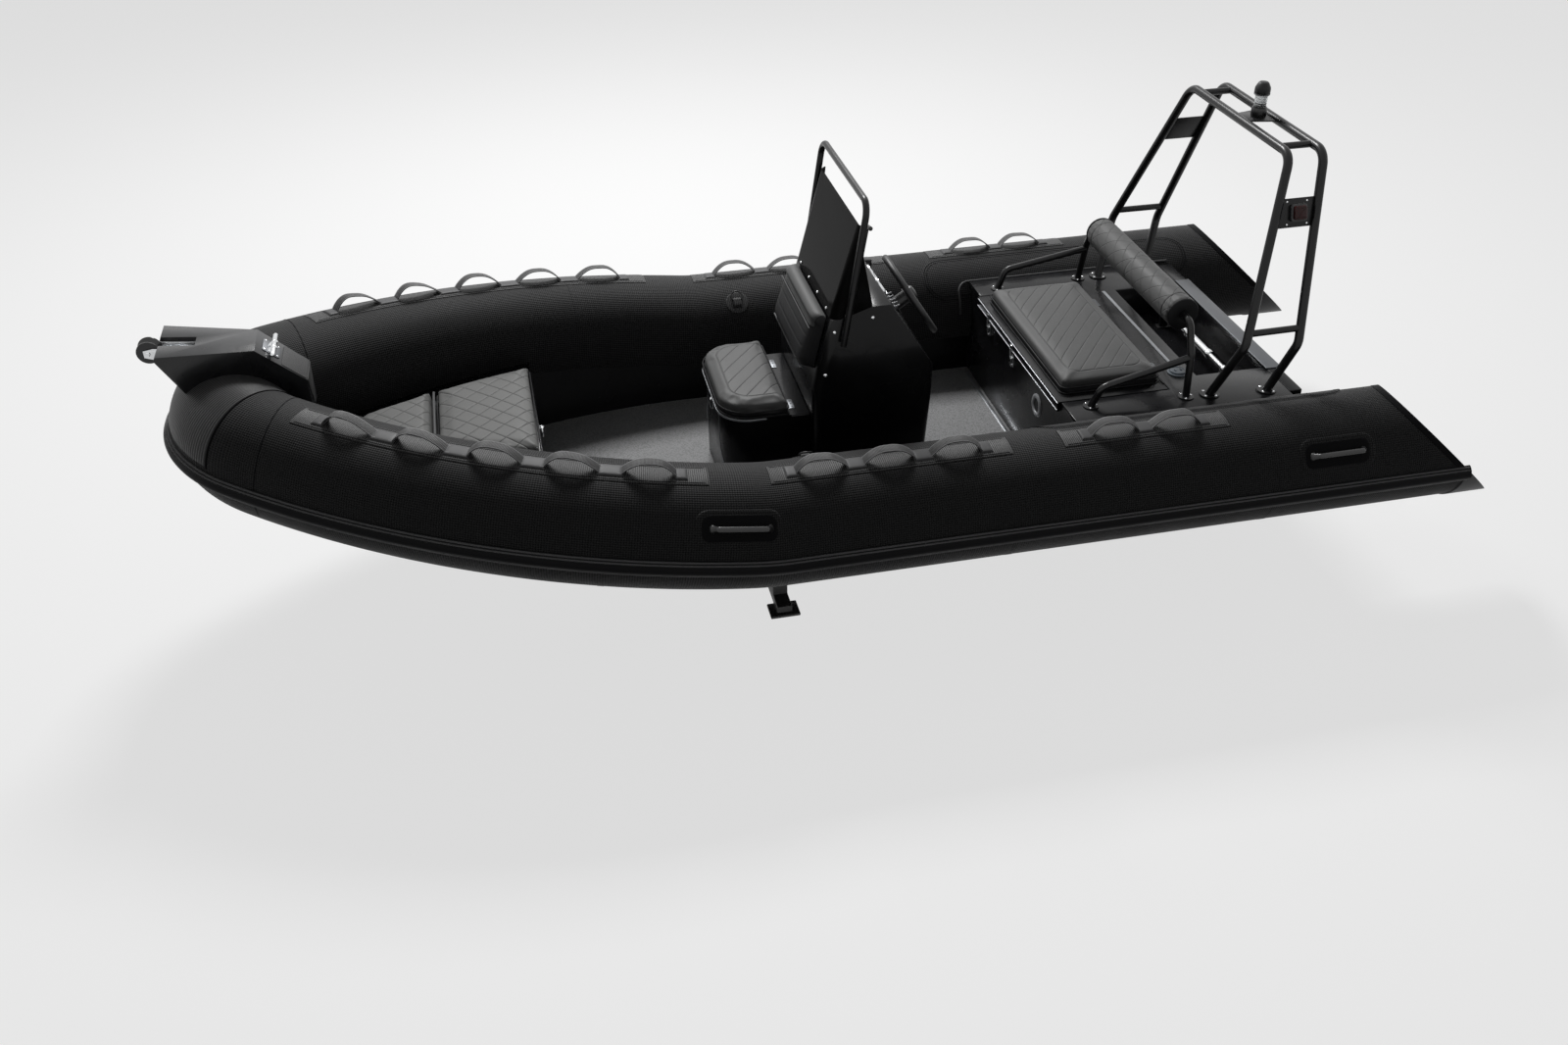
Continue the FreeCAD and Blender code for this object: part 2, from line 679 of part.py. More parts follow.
CUSHION_ROUND = 20.0
CUSHION_SETBACK = 18.0     # of the cushion from the module's front
cushion_front = MODULE_FRONT - CUSHION_SETBACK
cushion_floor = DECK_TOP + SEAM_GAP
cushion_top = cushion_floor + HELM_CUSHION
helm_cushion = box(cushion_front - HELM_CUSHION_LENGTH, cushion_front, -HELM_SEAT_HALF, HELM_SEAT_HALF,
                   cushion_floor, cushion_top)
top_edges = [edge for edge in helm_cushion.Edges if edge.BoundBox.ZMin > cushion_top - 1]
helm_cushion = helm_cushion.makeFillet(CUSHION_ROUND, top_edges)
emit("helm_seat_cushion", helm_cushion)

FILLER = V(WELL_FRONT + 60, 360, DECK_TOP)
filler = joined([
    Part.makeCylinder(42, 5, FILLER, Z_AXIS),
    Part.makeCylinder(33, 12, FILLER, Z_AXIS),
])
emit("filler_cap", filler)

RAM_X = TRANSOM_X + 162
RAM_Z = 100.0
RAM_HALF = 300.0
RAM_ROD = 11.0
RAM_BARREL = 20.0
BARREL_Y = -60.0
BARREL_LENGTH = 220.0
POST_INSET = 20.0
ram = [Part.makeCylinder(RAM_ROD, 2 * RAM_HALF, V(RAM_X, -RAM_HALF, RAM_Z), Y_AXIS)]
for y in (POST_INSET - RAM_HALF, RAM_HALF - POST_INSET):
    ram.append(box(RAM_X - 18, RAM_X + 18, y - 8, y + 8, WELL_FLOOR, RAM_Z + RAM_ROD + 5))
ram.append(Part.makeCylinder(RAM_BARREL, BARREL_LENGTH, V(RAM_X, BARREL_Y, RAM_Z), Y_AXIS))
emit("steering_ram", joined(ram))

# %% Helm backrest: a bent frame that carries the roll

ROLL_X = HINGE_X - 52
ROLL_Z = DECK_TOP + 281
ROLL_HALF = 405.0
FOOT_RADIUS = 30.0
FOOT_THICKNESS = 5.0
FRAME_BEND = 45.0
strut_foot = V(HINGE_X - 39, DECK_EDGE - 95, DECK_TOP)
strut_knee = V(HINGE_X - 48, DECK_EDGE - 123, DECK_TOP + 170)
strut_top = V(ROLL_X, ROLL_HALF + 65, ROLL_Z)
arm_root = V(strut_knee.x, strut_knee.y, strut_knee.z - 15)
arm_elbow = V(MODULE_FRONT - 131, DECK_EDGE - 102, DECK_TOP + 83)
arm_foot = V(MODULE_FRONT - 97, DECK_EDGE - 112, DECK_TOP)


def there_and_back(points):
    """The points of one side, then those of the other side in reverse."""
    return points + [V(point.x, -point.y, point.z) for point in reversed(points)]


def above_deck(shape):
    """What is left of a frame over the helm module's deck."""
    return shape.cut(box(0, MODULE_FRONT, -TUBE_OFFSET, TUBE_OFFSET, 0, DECK_TOP))


backrest_frame = [pipe(there_and_back([strut_foot, strut_knee, strut_top]), FRAME_PIPE, FRAME_BEND)]
backrest_frame += both_sides(pipe([arm_root, arm_elbow, arm_foot], FRAME_PIPE, FRAME_BEND))
for foot in (strut_foot, arm_foot):
    backrest_frame += both_sides(Part.makeCylinder(FOOT_RADIUS, FOOT_THICKNESS, foot, Z_AXIS))
emit("backrest_frame", above_deck(joined(backrest_frame)))

roll = Part.makeCylinder(ROLL_RADIUS, 2 * ROLL_HALF, V(ROLL_X, -ROLL_HALF, ROLL_Z), Y_AXIS)
bore_half = ROLL_HALF + CUT_MARGIN
roll_bore = Part.makeCylinder(FRAME_PIPE + SEAM_GAP, 2 * bore_half, V(ROLL_X, -bore_half, ROLL_Z), Y_AXIS)
emit("backrest_roll", roll.cut(roll_bore))

# %% Light arch: two leaning hoops, tied at the bends and at the top

ARCH_TOP = 1043.0
ARCH_HALF = 403.0
ARCH_FOOT_RADIUS = 38.0
ARCH_FOOT_THICKNESS = 6.0
# Each hoop, port side: its foot, its bend and its top corner
Hoop = namedtuple("Hoop", "foot bend corner")
HOOPS = [
    Hoop(V(TRANSOM_X + 370, DECK_EDGE - 92, DECK_TOP), V(TRANSOM_X + 298, DECK_EDGE - 17, 400),
         V(TRANSOM_X + 126, ARCH_HALF, ARCH_TOP)),
    Hoop(V(TRANSOM_X + 140, DECK_EDGE - 72, DECK_TOP), V(TRANSOM_X + 82, DECK_EDGE - 15, 385),
         V(TRANSOM_X - 10, ARCH_HALF, ARCH_TOP)),
]
arch = []
for hoop in HOOPS:
    arch.append(pipe(there_and_back([hoop.foot, hoop.bend, hoop.corner]), ARCH_PIPE, ARCH_BEND))
    arch += both_sides(Part.makeCylinder(ARCH_FOOT_RADIUS, ARCH_FOOT_THICKNESS, hoop.foot, Z_AXIS))


def up_leg(hoop, z):
    """The point of a hoop's upper leg at a height."""
    share = (z - hoop.bend.z) / (hoop.corner.z - hoop.bend.z)
    return hoop.bend + (hoop.corner - hoop.bend) * share


TIE_Z = 440.0
TIE_PIPE = 13.0
TOP_TIE_Y = 320.0
top_tie = V(0, TOP_TIE_Y - ARCH_HALF, 0)
ties = [(up_leg(HOOPS[0], TIE_Z), up_leg(HOOPS[1], TIE_Z)),
        (HOOPS[0].corner + top_tie, HOOPS[1].corner + top_tie)]
for start, end in ties:
    arch += both_sides(Part.makeCylinder(TIE_PIPE, (end - start).Length, start, end - start))
arch = above_deck(joined(arch))
emit("light_arch", arch)

# A plate between the hoops on each side carries a side light, and one at the top the stern light
PLATE_LOW = 795.0
PLATE_HIGH = 895.0
PLATE_THICKNESS = 5.0
front_low = up_leg(HOOPS[0], PLATE_LOW)
front_high = up_leg(HOOPS[0], PLATE_HIGH)
rear_low = up_leg(HOOPS[1], PLATE_LOW)
rear_high = up_leg(HOOPS[1], PLATE_HIGH)
lean = (front_high - front_low).cross(rear_low - front_low).normalize()
if lean.y < 0:
    lean = lean * -1
rear_high = rear_high - lean * lean.dot(rear_high - front_low)
shift = lean * (-PLATE_THICKNESS / 2)
plate_corners = [front_low, front_high, rear_high, rear_low]
side_plate = prism([point + shift for point in plate_corners], lean * PLATE_THICKNESS)
side_plate = largest(side_plate.cut(arch))
LAMP_X = TRANSOM_X + 45
LAMP_PLATE_AFT = 75.0
LAMP_PLATE_FORE = 45.0
lamp_plate_points = [(HOOPS[1].corner.x, -LAMP_PLATE_AFT), (HOOPS[1].corner.x, LAMP_PLATE_AFT),
                     (HOOPS[0].corner.x, LAMP_PLATE_FORE), (HOOPS[0].corner.x, -LAMP_PLATE_FORE)]
lamp_plate = plan_profile(lamp_plate_points, ARCH_TOP, ARCH_TOP + PLATE_THICKNESS)
lamp_plate = largest(lamp_plate.cut(arch))
emit("arch_plates", both_sides(side_plate) + [lamp_plate])

SIDE_LIGHT = 62.0
SIDE_LIGHT_DEPTH = 34.0
lamp_middle = (front_low + front_high + rear_high + rear_low) * 0.25
lamp_turn = Rotation(Z_AXIS, lean)
lamp_corner = V(-SIDE_LIGHT / 2, -SIDE_LIGHT / 2, PLATE_THICKNESS / 2)
lamp_body = Part.makeBox(SIDE_LIGHT, SIDE_LIGHT, SIDE_LIGHT_DEPTH, lamp_corner)
lamp_body.Placement = Placement(lamp_middle, lamp_turn)
emit("side_lights", both_sides(lamp_body))

STERN_LIGHT_BASE = V(LAMP_X, 0, ARCH_TOP + PLATE_THICKNESS)
stern_light = joined([
    Part.makeCylinder(30, 34, STERN_LIGHT_BASE, Z_AXIS),
    Part.makeCylinder(24, 84, STERN_LIGHT_BASE, Z_AXIS),
    Part.makeCylinder(30, 22, STERN_LIGHT_BASE + V(0, 0, 84), Z_AXIS),
    Part.makeCone(30, 18, 26, STERN_LIGHT_BASE + V(0, 0, 106), Z_AXIS),
])
emit("all_round_light", stern_light)

# %% Console, its screen, rail, backrest and wheel

CONSOLE_TOP = 566.0
CONSOLE_CORNER = 40.0
CONSOLE_AFT_CORNER = 25.0
DASH_FRONT_X = CONSOLE_FRONT - 223
DASH_TOP_X = CONSOLE_FRONT - 295
DASH_LOW_Z = 285.0
console_points = [
    (CONSOLE_FRONT, FLOOR_Z), (CONSOLE_FRONT, 250), (CONSOLE_FRONT - 70, 515),
    (DASH_FRONT_X, CONSOLE_TOP), (DASH_TOP_X, CONSOLE_TOP),
    (CONSOLE_AFT, DASH_LOW_Z), (CONSOLE_AFT, DASH_LOW_Z - 105), (CONSOLE_AFT + 30, FLOOR_Z),
]
console = side_profile(console_points, CONSOLE_HALF)
console = rounded(console, CONSOLE_CORNER, CONSOLE_FRONT - 85, CONSOLE_FRONT + 15)
console = rounded(console, CONSOLE_AFT_CORNER, CONSOLE_AFT - 110, CONSOLE_AFT + 90)
emit("console", console)

SCREEN_BASE_Z = 516.0
SCREEN_TOP_Z = 880.0
SCREEN_FOOT = V(CONSOLE_FRONT - 71, 0, 527)
SCREEN_LEAN = 0.2756       # aft, for each mm up
SCREEN_CORNER = 45.0
SCREEN_AFT = CONSOLE_FRONT - 285
SCREEN_BASE_HALF = CONSOLE_HALF - 6
SCREEN_TOP_HALF = CONSOLE_HALF + 7


def screen_bend(hub, side, size):
    """Three points of a corner of the screen, from its side round to its front."""
    half_way = size * math.sqrt(0.5)
    return [hub + V(0, side * size, 0), hub + V(half_way, side * half_way, 0), hub + V(size, 0, 0)]


def screen_outline(z, half):
    """The screen's wrapped section at a height: a pane across the front with two returns."""
    front = SCREEN_FOOT.x - SCREEN_LEAN * (z - SCREEN_FOOT.z)
    hub_x = front - SCREEN_CORNER
    hub_y = half - SCREEN_CORNER
    inner_radius = SCREEN_CORNER - SCREEN_THICKNESS
    inner_half = half - SCREEN_THICKNESS
    outer = screen_bend(V(hub_x, -hub_y, z), -1, SCREEN_CORNER)
    outer_port = list(reversed(screen_bend(V(hub_x, hub_y, z), 1, SCREEN_CORNER)))
    inner_port = screen_bend(V(hub_x, hub_y, z), 1, inner_radius)
    inner = list(reversed(screen_bend(V(hub_x, -hub_y, z), -1, inner_radius)))
    ends = [V(SCREEN_AFT, y, z) for y in (-half, half, inner_half, -inner_half)]
    edges = [Part.makeLine(ends[0], outer[0]), Part.Arc(*outer).toShape(),
             Part.makeLine(outer[2], outer_port[0]), Part.Arc(*outer_port).toShape(),
             Part.makeLine(outer_port[2], ends[1]), Part.makeLine(ends[1], ends[2]),
             Part.makeLine(ends[2], inner_port[0]), Part.Arc(*inner_port).toShape(),
             Part.makeLine(inner_port[2], inner[0]), Part.Arc(*inner).toShape(),
             Part.makeLine(inner[2], ends[3]), Part.makeLine(ends[3], ends[0])]
    return Part.Wire(edges)


screen_ends = [screen_outline(SCREEN_BASE_Z, SCREEN_BASE_HALF), screen_outline(SCREEN_TOP_Z, SCREEN_TOP_HALF)]
screen = Part.makeLoft(screen_ends, True, True)
# The returns end on a sloping edge, so this takes off what lies aft of it
return_points = [
    (DASH_FRONT_X, 480), (DASH_FRONT_X, 576), (CONSOLE_FRONT - 184, 768), (CONSOLE_FRONT - 193, 885),
    (CONSOLE_FRONT - 335, 885), (CONSOLE_FRONT - 335, 480),
]
return_cut = side_profile(return_points, CONSOLE_HALF + 90)
emit("windscreen", largest(screen.cut(return_cut).cut(console)))

RAIL_PIPE = 12.5
RAIL_BEND = 55.0
RAIL_STANDOFF = 27.0       # of the rail's line from the console's side
RAIL_BOSS = 9.0
rail_y = CONSOLE_HALF + RAIL_STANDOFF
rail_foot = V(CONSOLE_FRONT - 107, rail_y, 430)
rail_corner = V(CONSOLE_FRONT - 189, rail_y, 978)
console_rail = [pipe(there_and_back([rail_foot, rail_corner]), RAIL_PIPE, RAIL_BEND)]
for up in (22, 62):
    on_rail = rail_foot + (rail_corner - rail_foot) * (up / (rail_corner.z - rail_foot.z))
    boss_start = V(on_rail.x, CONSOLE_HALF, on_rail.z)
    console_rail += both_sides(Part.makeCylinder(RAIL_BOSS, RAIL_STANDOFF, boss_start, Y_AXIS))
emit("console_rail", joined(console_rail))

# The backrest's section: distances ahead of the console's front, and heights
BACKREST_HALF = 250.0
BACKREST_POINTS = [(-12.6, 300), (35, 306), (42, 336), (-10, 498), (-29, 520), (-51, 524), (-68.5, 512)]
backrest_points = [(CONSOLE_FRONT + ahead, z) for ahead, z in BACKREST_POINTS]
emit("console_backrest", side_profile(backrest_points, BACKREST_HALF))

dash_top = V(DASH_TOP_X, 0, CONSOLE_TOP)
dash_slope = (V(CONSOLE_AFT, 0, DASH_LOW_Z) - dash_top).normalize()
dash_normal = V(dash_slope.z, 0, -dash_slope.x)
COLUMN_DOWN = 190.0
COLUMN_LENGTH = 58.0
COLUMN_RADIUS = 27.0
COLUMN_FLANGE = 45.0
FLANGE_THICKNESS = 8.0
SHAFT_RADIUS = 10.0
SHAFT_LENGTH = 20.0
SHAFT_CLEARANCE = 0.1
HUB_RADIUS = 34.0
HUB_LENGTH = 30.0
HUB_GAP = 0.5
column_foot = dash_top + dash_slope * COLUMN_DOWN
column = joined([
    Part.makeCylinder(COLUMN_RADIUS, COLUMN_LENGTH, column_foot, dash_normal),
    Part.makeCylinder(COLUMN_FLANGE, FLANGE_THICKNESS, column_foot, dash_normal),
    Part.makeCylinder(SHAFT_RADIUS, COLUMN_LENGTH + SHAFT_LENGTH, column_foot, dash_normal),
])
emit("steering_column", column)

SPOKE_WIDTH = 30.0
SPOKE_THICKNESS = 7.0
SPOKE_TURNS = [-30, 90, 210]
hub_start = column_foot + dash_normal * (COLUMN_LENGTH + HUB_GAP)
rim_centre = hub_start + dash_normal * (HUB_LENGTH * 0.6)
rim_place = Placement(rim_centre, Rotation(Y_AXIS, dash_slope.negative(), dash_normal, "ZXY"))
wheel = [Part.makeTorus(WHEEL_RADIUS, WHEEL_RIM, rim_centre, dash_normal),
         Part.makeCylinder(HUB_RADIUS, HUB_LENGTH, hub_start, dash_normal)]
for turn in SPOKE_TURNS:
    spoke = Part.makeBox(WHEEL_RADIUS - 10, SPOKE_WIDTH, SPOKE_THICKNESS,
                         V(10, -SPOKE_WIDTH / 2, -SPOKE_THICKNESS / 2))
    spoke_turn = Placement(V(0, 0, 0), Rotation(Z_AXIS, turn))
    wheel.append(moved(spoke, rim_place.multiply(spoke_turn)))
shaft_bore = Part.makeCylinder(SHAFT_RADIUS + SHAFT_CLEARANCE, SHAFT_LENGTH + CUT_MARGIN,
                               hub_start - dash_normal, dash_normal)
emit("steering_wheel", joined(wheel).cut(shaft_bore))

THROTTLE = V(CONSOLE_FRONT - 350, -CONSOLE_HALF, 420)
THROTTLE_DEPTH = 24.0
LEVER_OUT = 42.0
LEVER_RADIUS = 9.0
LEVER_BEND = 18.0
lever = [THROTTLE + V(0, -LEVER_OUT, 0), THROTTLE + V(-30, -LEVER_OUT, 175), THROTTLE + V(-30, 10, 185)]
throttle = joined([
    box(THROTTLE.x - 40, THROTTLE.x + 40, THROTTLE.y - THROTTLE_DEPTH, THROTTLE.y,
        THROTTLE.z - 60, THROTTLE.z + 45),
    Part.makeCylinder(24, 30, THROTTLE + V(0, -THROTTLE_DEPTH, 0), V(0, -1, 0)),
    pipe(lever, LEVER_RADIUS, LEVER_BEND),
])
emit("throttle", throttle)

# %% Front seat on the console

FRONT_HINGE_X = CONSOLE_FRONT + FRONT_SEAT_GAP
FRONT_SEAT_FRONT = FRONT_HINGE_X + FRONT_SEAT_LENGTH
SEAT_CORNER = 125.0
RIM_INSET = 12.0
LID_INSET = 2.0
BASE_WALL = 14.0
BASE_AFT_WALL = 20.0
HINGE_CLEARANCE = 6.0      # of the cushion, ahead of the hinge


def seat_block(x0, inset, z0, z1):
    """The seat's outline, rounded at the front, drawn in by an inset."""
    half = FRONT_SEAT_HALF - inset
    block = box(x0, FRONT_SEAT_FRONT - inset, -half, half, z0, z1)
    return rounded(block, SEAT_CORNER - inset, FRONT_SEAT_FRONT - inset - 1, FRONT_SEAT_FRONT + 1)


seat_top = FRONT_SEAT_TOP
seat_base = seat_block(CONSOLE_FRONT, RIM_INSET, FLOOR_Z, seat_top)
seat_void = seat_block(FRONT_HINGE_X + BASE_AFT_WALL, RIM_INSET + BASE_WALL, FLOOR_Z + BASE_WALL,
                       seat_top + CUT_MARGIN)
seat_base = seat_base.cut(seat_void)
emit("front_seat_base", seat_base)

lid_base = seat_top + LID_GAP
front_lid = seat_block(FRONT_HINGE_X, LID_INSET, lid_base, lid_base + LID_THICKNESS)
front_barrel = hinge_barrel(FRONT_HINGE_X, lid_base + HINGE_BARREL, FRONT_SEAT_HALF)
emit("front_seat_lid", joined([front_lid, front_barrel]))

cushion_base = lid_base + LID_THICKNESS + SEAM_GAP
front_cushion = seat_block(FRONT_HINGE_X + HINGE_CLEARANCE, 0, cushion_base, cushion_base + FRONT_CUSHION)
emit("front_seat_cushion", front_cushion)

# %% Bow: locker, lid, cushions

wall_aft = BOW_WALL_X - BOW_WALL_THICKNESS
bow_wall = plan_block(LINER_INSET, wall_aft, BOW_WALL_X, FLOOR_Z, BOW_DECK_TOP)
DECK_INSET = 150.0
DECK_FRONT_BACK = 221.0    # from the nose's centreline to the deck's fore edge
bow_plate = plan_block(DECK_INSET, wall_aft, NOSE_X - DECK_FRONT_BACK, BOW_DECK_BASE, BOW_DECK_TOP)
HATCH_HALF = 270.0
HATCH_SETBACK = 60.0       # of its fore edge from the seam between the cushions
HATCH_RIM = 25.0
HATCH_CORNER = 60.0
hatch_front = BOW_SEAM_X - HATCH_SETBACK
hatch = box(BOW_WALL_X + HATCH_RIM, hatch_front, -HATCH_HALF, HATCH_HALF,
            BOW_DECK_BASE - CUT_MARGIN, BOW_DECK_TOP + CUT_MARGIN)
hatch = rounded(hatch, HATCH_CORNER, BOW_WALL_X, hatch_front + 1)
bow_deck = joined([bow_wall, bow_plate]).cut(hatch)
for side in tubes:
    bow_deck = bow_deck.cut(side)
emit("bow_deck", largest(bow_deck))

# Three points of the cushions' side: distances aft of the nose, and insets from the tube's centreline
BOW_HINGE_X = wall_aft + 2
CushionEdge = namedtuple("CushionEdge", "x inset")
CUSHION_EDGE = [
    CushionEdge(BOW_HINGE_X, 374.5),
    CushionEdge(NOSE_X - 771, 352.7),
    CushionEdge(NOSE_X - 451, 326.5),
]
CUSHION_NOSE = 45.0        # that the fore end's curve stands ahead of its corners
SEAM_HALF = 6.0


def cushion_plan(z0, z1):
    """The outline of both bow cushions: the sides close in on a curve towards the bow."""
    port = [V(point.x, edge_y(point.x, point.inset), z0) for point in CUSHION_EDGE]
    starboard = [V(point.x, -point.y, z0) for point in reversed(port)]
    front = [port[2], V(port[2].x + CUSHION_NOSE, 0, z0), starboard[0]]
    edges = [Part.makeLine(starboard[2], port[0]), Part.Arc(*port).toShape(),
             Part.Arc(*front).toShape(), Part.Arc(*starboard).toShape()]
    return Part.Face(Part.Wire(edges)).extrude(V(0, 0, z1 - z0))


hatch_z = BOW_DECK_TOP + LID_GAP
pad_z = hatch_z + LID_THICKNESS + SEAM_GAP
pad_top = pad_z + BOW_CUSHION
lid_all = cushion_plan(hatch_z, hatch_z + LID_THICKNESS)
lid_reach = box(wall_aft, BOW_SEAM_X - SEAM_HALF, -TUBE_OFFSET, TUBE_OFFSET, 0, pad_top + CUT_MARGIN)
fore_reach = box(BOW_SEAM_X + SEAM_HALF, NOSE_X, -TUBE_OFFSET, TUBE_OFFSET, 0, pad_top + CUT_MARGIN)
bow_barrel = hinge_barrel(BOW_HINGE_X, hatch_z + HINGE_BARREL, edge_y(BOW_HINGE_X, CUSHION_EDGE[0].inset))
emit("bow_locker_lid", joined([lid_all.common(lid_reach), bow_barrel]))
emit("bow_cushion_aft", cushion_plan(pad_z, pad_top).common(lid_reach))
emit("bow_cushion_fore", cushion_plan(BOW_DECK_TOP + SEAM_GAP, pad_top).common(fore_reach))

# %% Bow step with its cleat and anchor roller

STEP_AFT_X = NOSE_TIP_X - 516
STEP_BREAK_X = NOSE_TIP_X - 359
STEP_FRONT_X = NOSE_TIP_X - 34
STEP_LOW_Z = NOSE_TOP_Z - 213
RAMP_FOOT_Z = NOSE_TOP_Z - 63
STEP_BREAK_Z = NOSE_TOP_Z + 78
STEP_TOP_Z = NOSE_TOP_Z + 111
STEP_AFT_HALF = 78.0
STEP_BREAK_HALF = 86.0
STEP_FRONT_HALF = 132.0
SLOT_HALF = 34.0
SLOT_LENGTH = 122.0
SLOT_DEPTH = 69.0
step_points = [
    (STEP_AFT_X, STEP_LOW_Z), (STEP_AFT_X, RAMP_FOOT_Z), (STEP_BREAK_X, STEP_BREAK_Z),
    (STEP_FRONT_X, STEP_TOP_Z), (STEP_FRONT_X + 6, STEP_TOP_Z - 14),
    (STEP_FRONT_X - 77, STEP_TOP_Z - 174), (STEP_FRONT_X - 77, STEP_LOW_Z),
]
step_port = [
    (STEP_FRONT_X + 18, STEP_FRONT_HALF), (STEP_BREAK_X, STEP_BREAK_HALF), (STEP_AFT_X - 5, STEP_AFT_HALF),
]
step_starboard = [(x, -y) for x, y in reversed(step_port)]
step_plan = plan_profile(step_port + step_starboard, STEP_LOW_Z - CUT_MARGIN, STEP_TOP_Z + CUT_MARGIN)
step = side_profile(step_points, 2 * STEP_FRONT_HALF).common(step_plan)
nose_core = sweep(disc(patch_skin), PATH_LENGTH - NOSE_LENGTH - 300, PATH_LENGTH)
for side in both_sides(nose_core):
    step = step.cut(side)
slot_aft = STEP_FRONT_X - SLOT_LENGTH
slot_floor = STEP_TOP_Z - SLOT_DEPTH
step = step.cut(box(slot_aft, STEP_FRONT_X + 50, -SLOT_HALF, SLOT_HALF, slot_floor, STEP_TOP_Z + 50))
step = largest(step)
emit("bow_step", step)

CHEEK_THICKNESS = 5.0
CHEEK_SETBACK = 4.0        # from the slot's aft end
ARM_THICKNESS = 5.0
ROLLER_HALF = 24.0
ROLLER_GAP = 2.0
AXLE_RADIUS = 6.0
AXLE_END = 4.0
cheek_inner = ROLLER_HALF + ROLLER_GAP
cheek_aft = slot_aft + CHEEK_SETBACK
arm_front = STEP_FRONT_X - 10
cheek_points = [
    (cheek_aft, slot_floor), (cheek_aft, slot_floor + 40), (ROLLER_X - 20, ROLLER_Z + 18),
    (ROLLER_X + 16, ROLLER_Z + 12), (ROLLER_X + 16, ROLLER_Z - 14), (ROLLER_X - 12, ROLLER_Z - 24),
    (arm_front, slot_floor),
]
cheek = prism([V(x, cheek_inner, z) for x, z in cheek_points], V(0, CHEEK_THICKNESS, 0))
bracket = both_sides(cheek)
bracket.append(box(cheek_aft, arm_front, -cheek_inner, cheek_inner, slot_floor, slot_floor + ARM_THICKNESS))
axle_half = cheek_inner + CHEEK_THICKNESS + AXLE_END
bracket.append(Part.makeCylinder(AXLE_RADIUS, 2 * axle_half, V(ROLLER_X, -axle_half, ROLLER_Z), Y_AXIS))
emit("roller_bracket", joined(bracket))

# The roller's outline above its axle: a V-groove between two flanges
ROLLER_FLANGE = 6.0
GROOVE_DEPTH = 14.0
roller_bore = AXLE_RADIUS + SHAFT_CLEARANCE
flange_y = ROLLER_HALF - ROLLER_FLANGE
roller_points = [
    (-ROLLER_HALF, roller_bore), (-ROLLER_HALF, ROLLER_RADIUS), (-flange_y, ROLLER_RADIUS),
    (0, ROLLER_RADIUS - GROOVE_DEPTH),
    (flange_y, ROLLER_RADIUS), (ROLLER_HALF, ROLLER_RADIUS), (ROLLER_HALF, roller_bore),
]
roller_corners = [V(ROLLER_X, y, ROLLER_Z + r) for y, r in roller_points]
roller_face = Part.Face(Part.makePolygon(roller_corners + [roller_corners[0]]))
roller = roller_face.revolve(V(ROLLER_X, 0, ROLLER_Z), Y_AXIS, 360)
emit("anchor_roller", roller)

CLEAT_X = NOSE_TIP_X - 418
CLEAT_HALF = 86.0
CLEAT_HEIGHT = 34.0
CLEAT_BAR = 9.0
CLEAT_POST = 11.0
CLEAT_POST_Y = 22.0
post_length = 60.0
ramp_share = (CLEAT_X - STEP_AFT_X) / (STEP_BREAK_X - STEP_AFT_X)
bar_z = RAMP_FOOT_Z + ramp_share * (STEP_BREAK_Z - RAMP_FOOT_Z) + CLEAT_HEIGHT
cleat = [Part.makeCylinder(CLEAT_BAR, 2 * CLEAT_HALF, V(CLEAT_X, -CLEAT_HALF, bar_z), Y_AXIS)]
for y in (-CLEAT_POST_Y, CLEAT_POST_Y):
    post_start = V(CLEAT_X, y, bar_z + 8 - post_length)
    cleat.append(Part.makeCylinder(CLEAT_POST, post_length, post_start, Z_AXIS))
emit("mooring_cleat", largest(joined(cleat).cut(step)))

# %% Latches and the locker ring

LATCH_HALF = 16.0
LATCH_DROP = 18.0          # under the edge that it holds
LATCH_LENGTH = 58.0
LATCH_PROUD = 10.0
LATCH_Y = [-339.0, -47.0]
latch_top = DECK_TOP - LID_LIP - LATCH_DROP
latches = []
for y in LATCH_Y:
    latches.append(box(MODULE_FRONT, MODULE_FRONT + LATCH_PROUD, y - LATCH_HALF, y + LATCH_HALF,
                       latch_top - LATCH_LENGTH, latch_top))
base_front = FRONT_SEAT_FRONT - RIM_INSET
latches.append(box(base_front, base_front + 14, -LATCH_HALF, LATCH_HALF,
                   FRONT_SEAT_TOP - 72, FRONT_SEAT_TOP - 16))
PULL_RADIUS = 20.0
pull_z = BOW_DECK_TOP - 50
pull = joined([
    box(wall_aft - 6, wall_aft, -22, 22, pull_z - 7, pull_z + 33),
    Part.makeTorus(PULL_RADIUS, 3.5, V(wall_aft - 12, 0, pull_z), X_AXIS),
    box(wall_aft - 16, wall_aft - 6, -9, 9, pull_z + 12, pull_z + 28),
])
latches.append(pull)
VENT = V(MODULE_FRONT, 252, DECK_TOP - 140)
latches.append(joined([
    Part.makeCylinder(48, 5, VENT, X_AXIS),
    Part.makeCylinder(30, 9, VENT, X_AXIS),
]))
emit("latches", latches)

# %% Cradle: two cross beams with uprights under the hull, tied by a spine

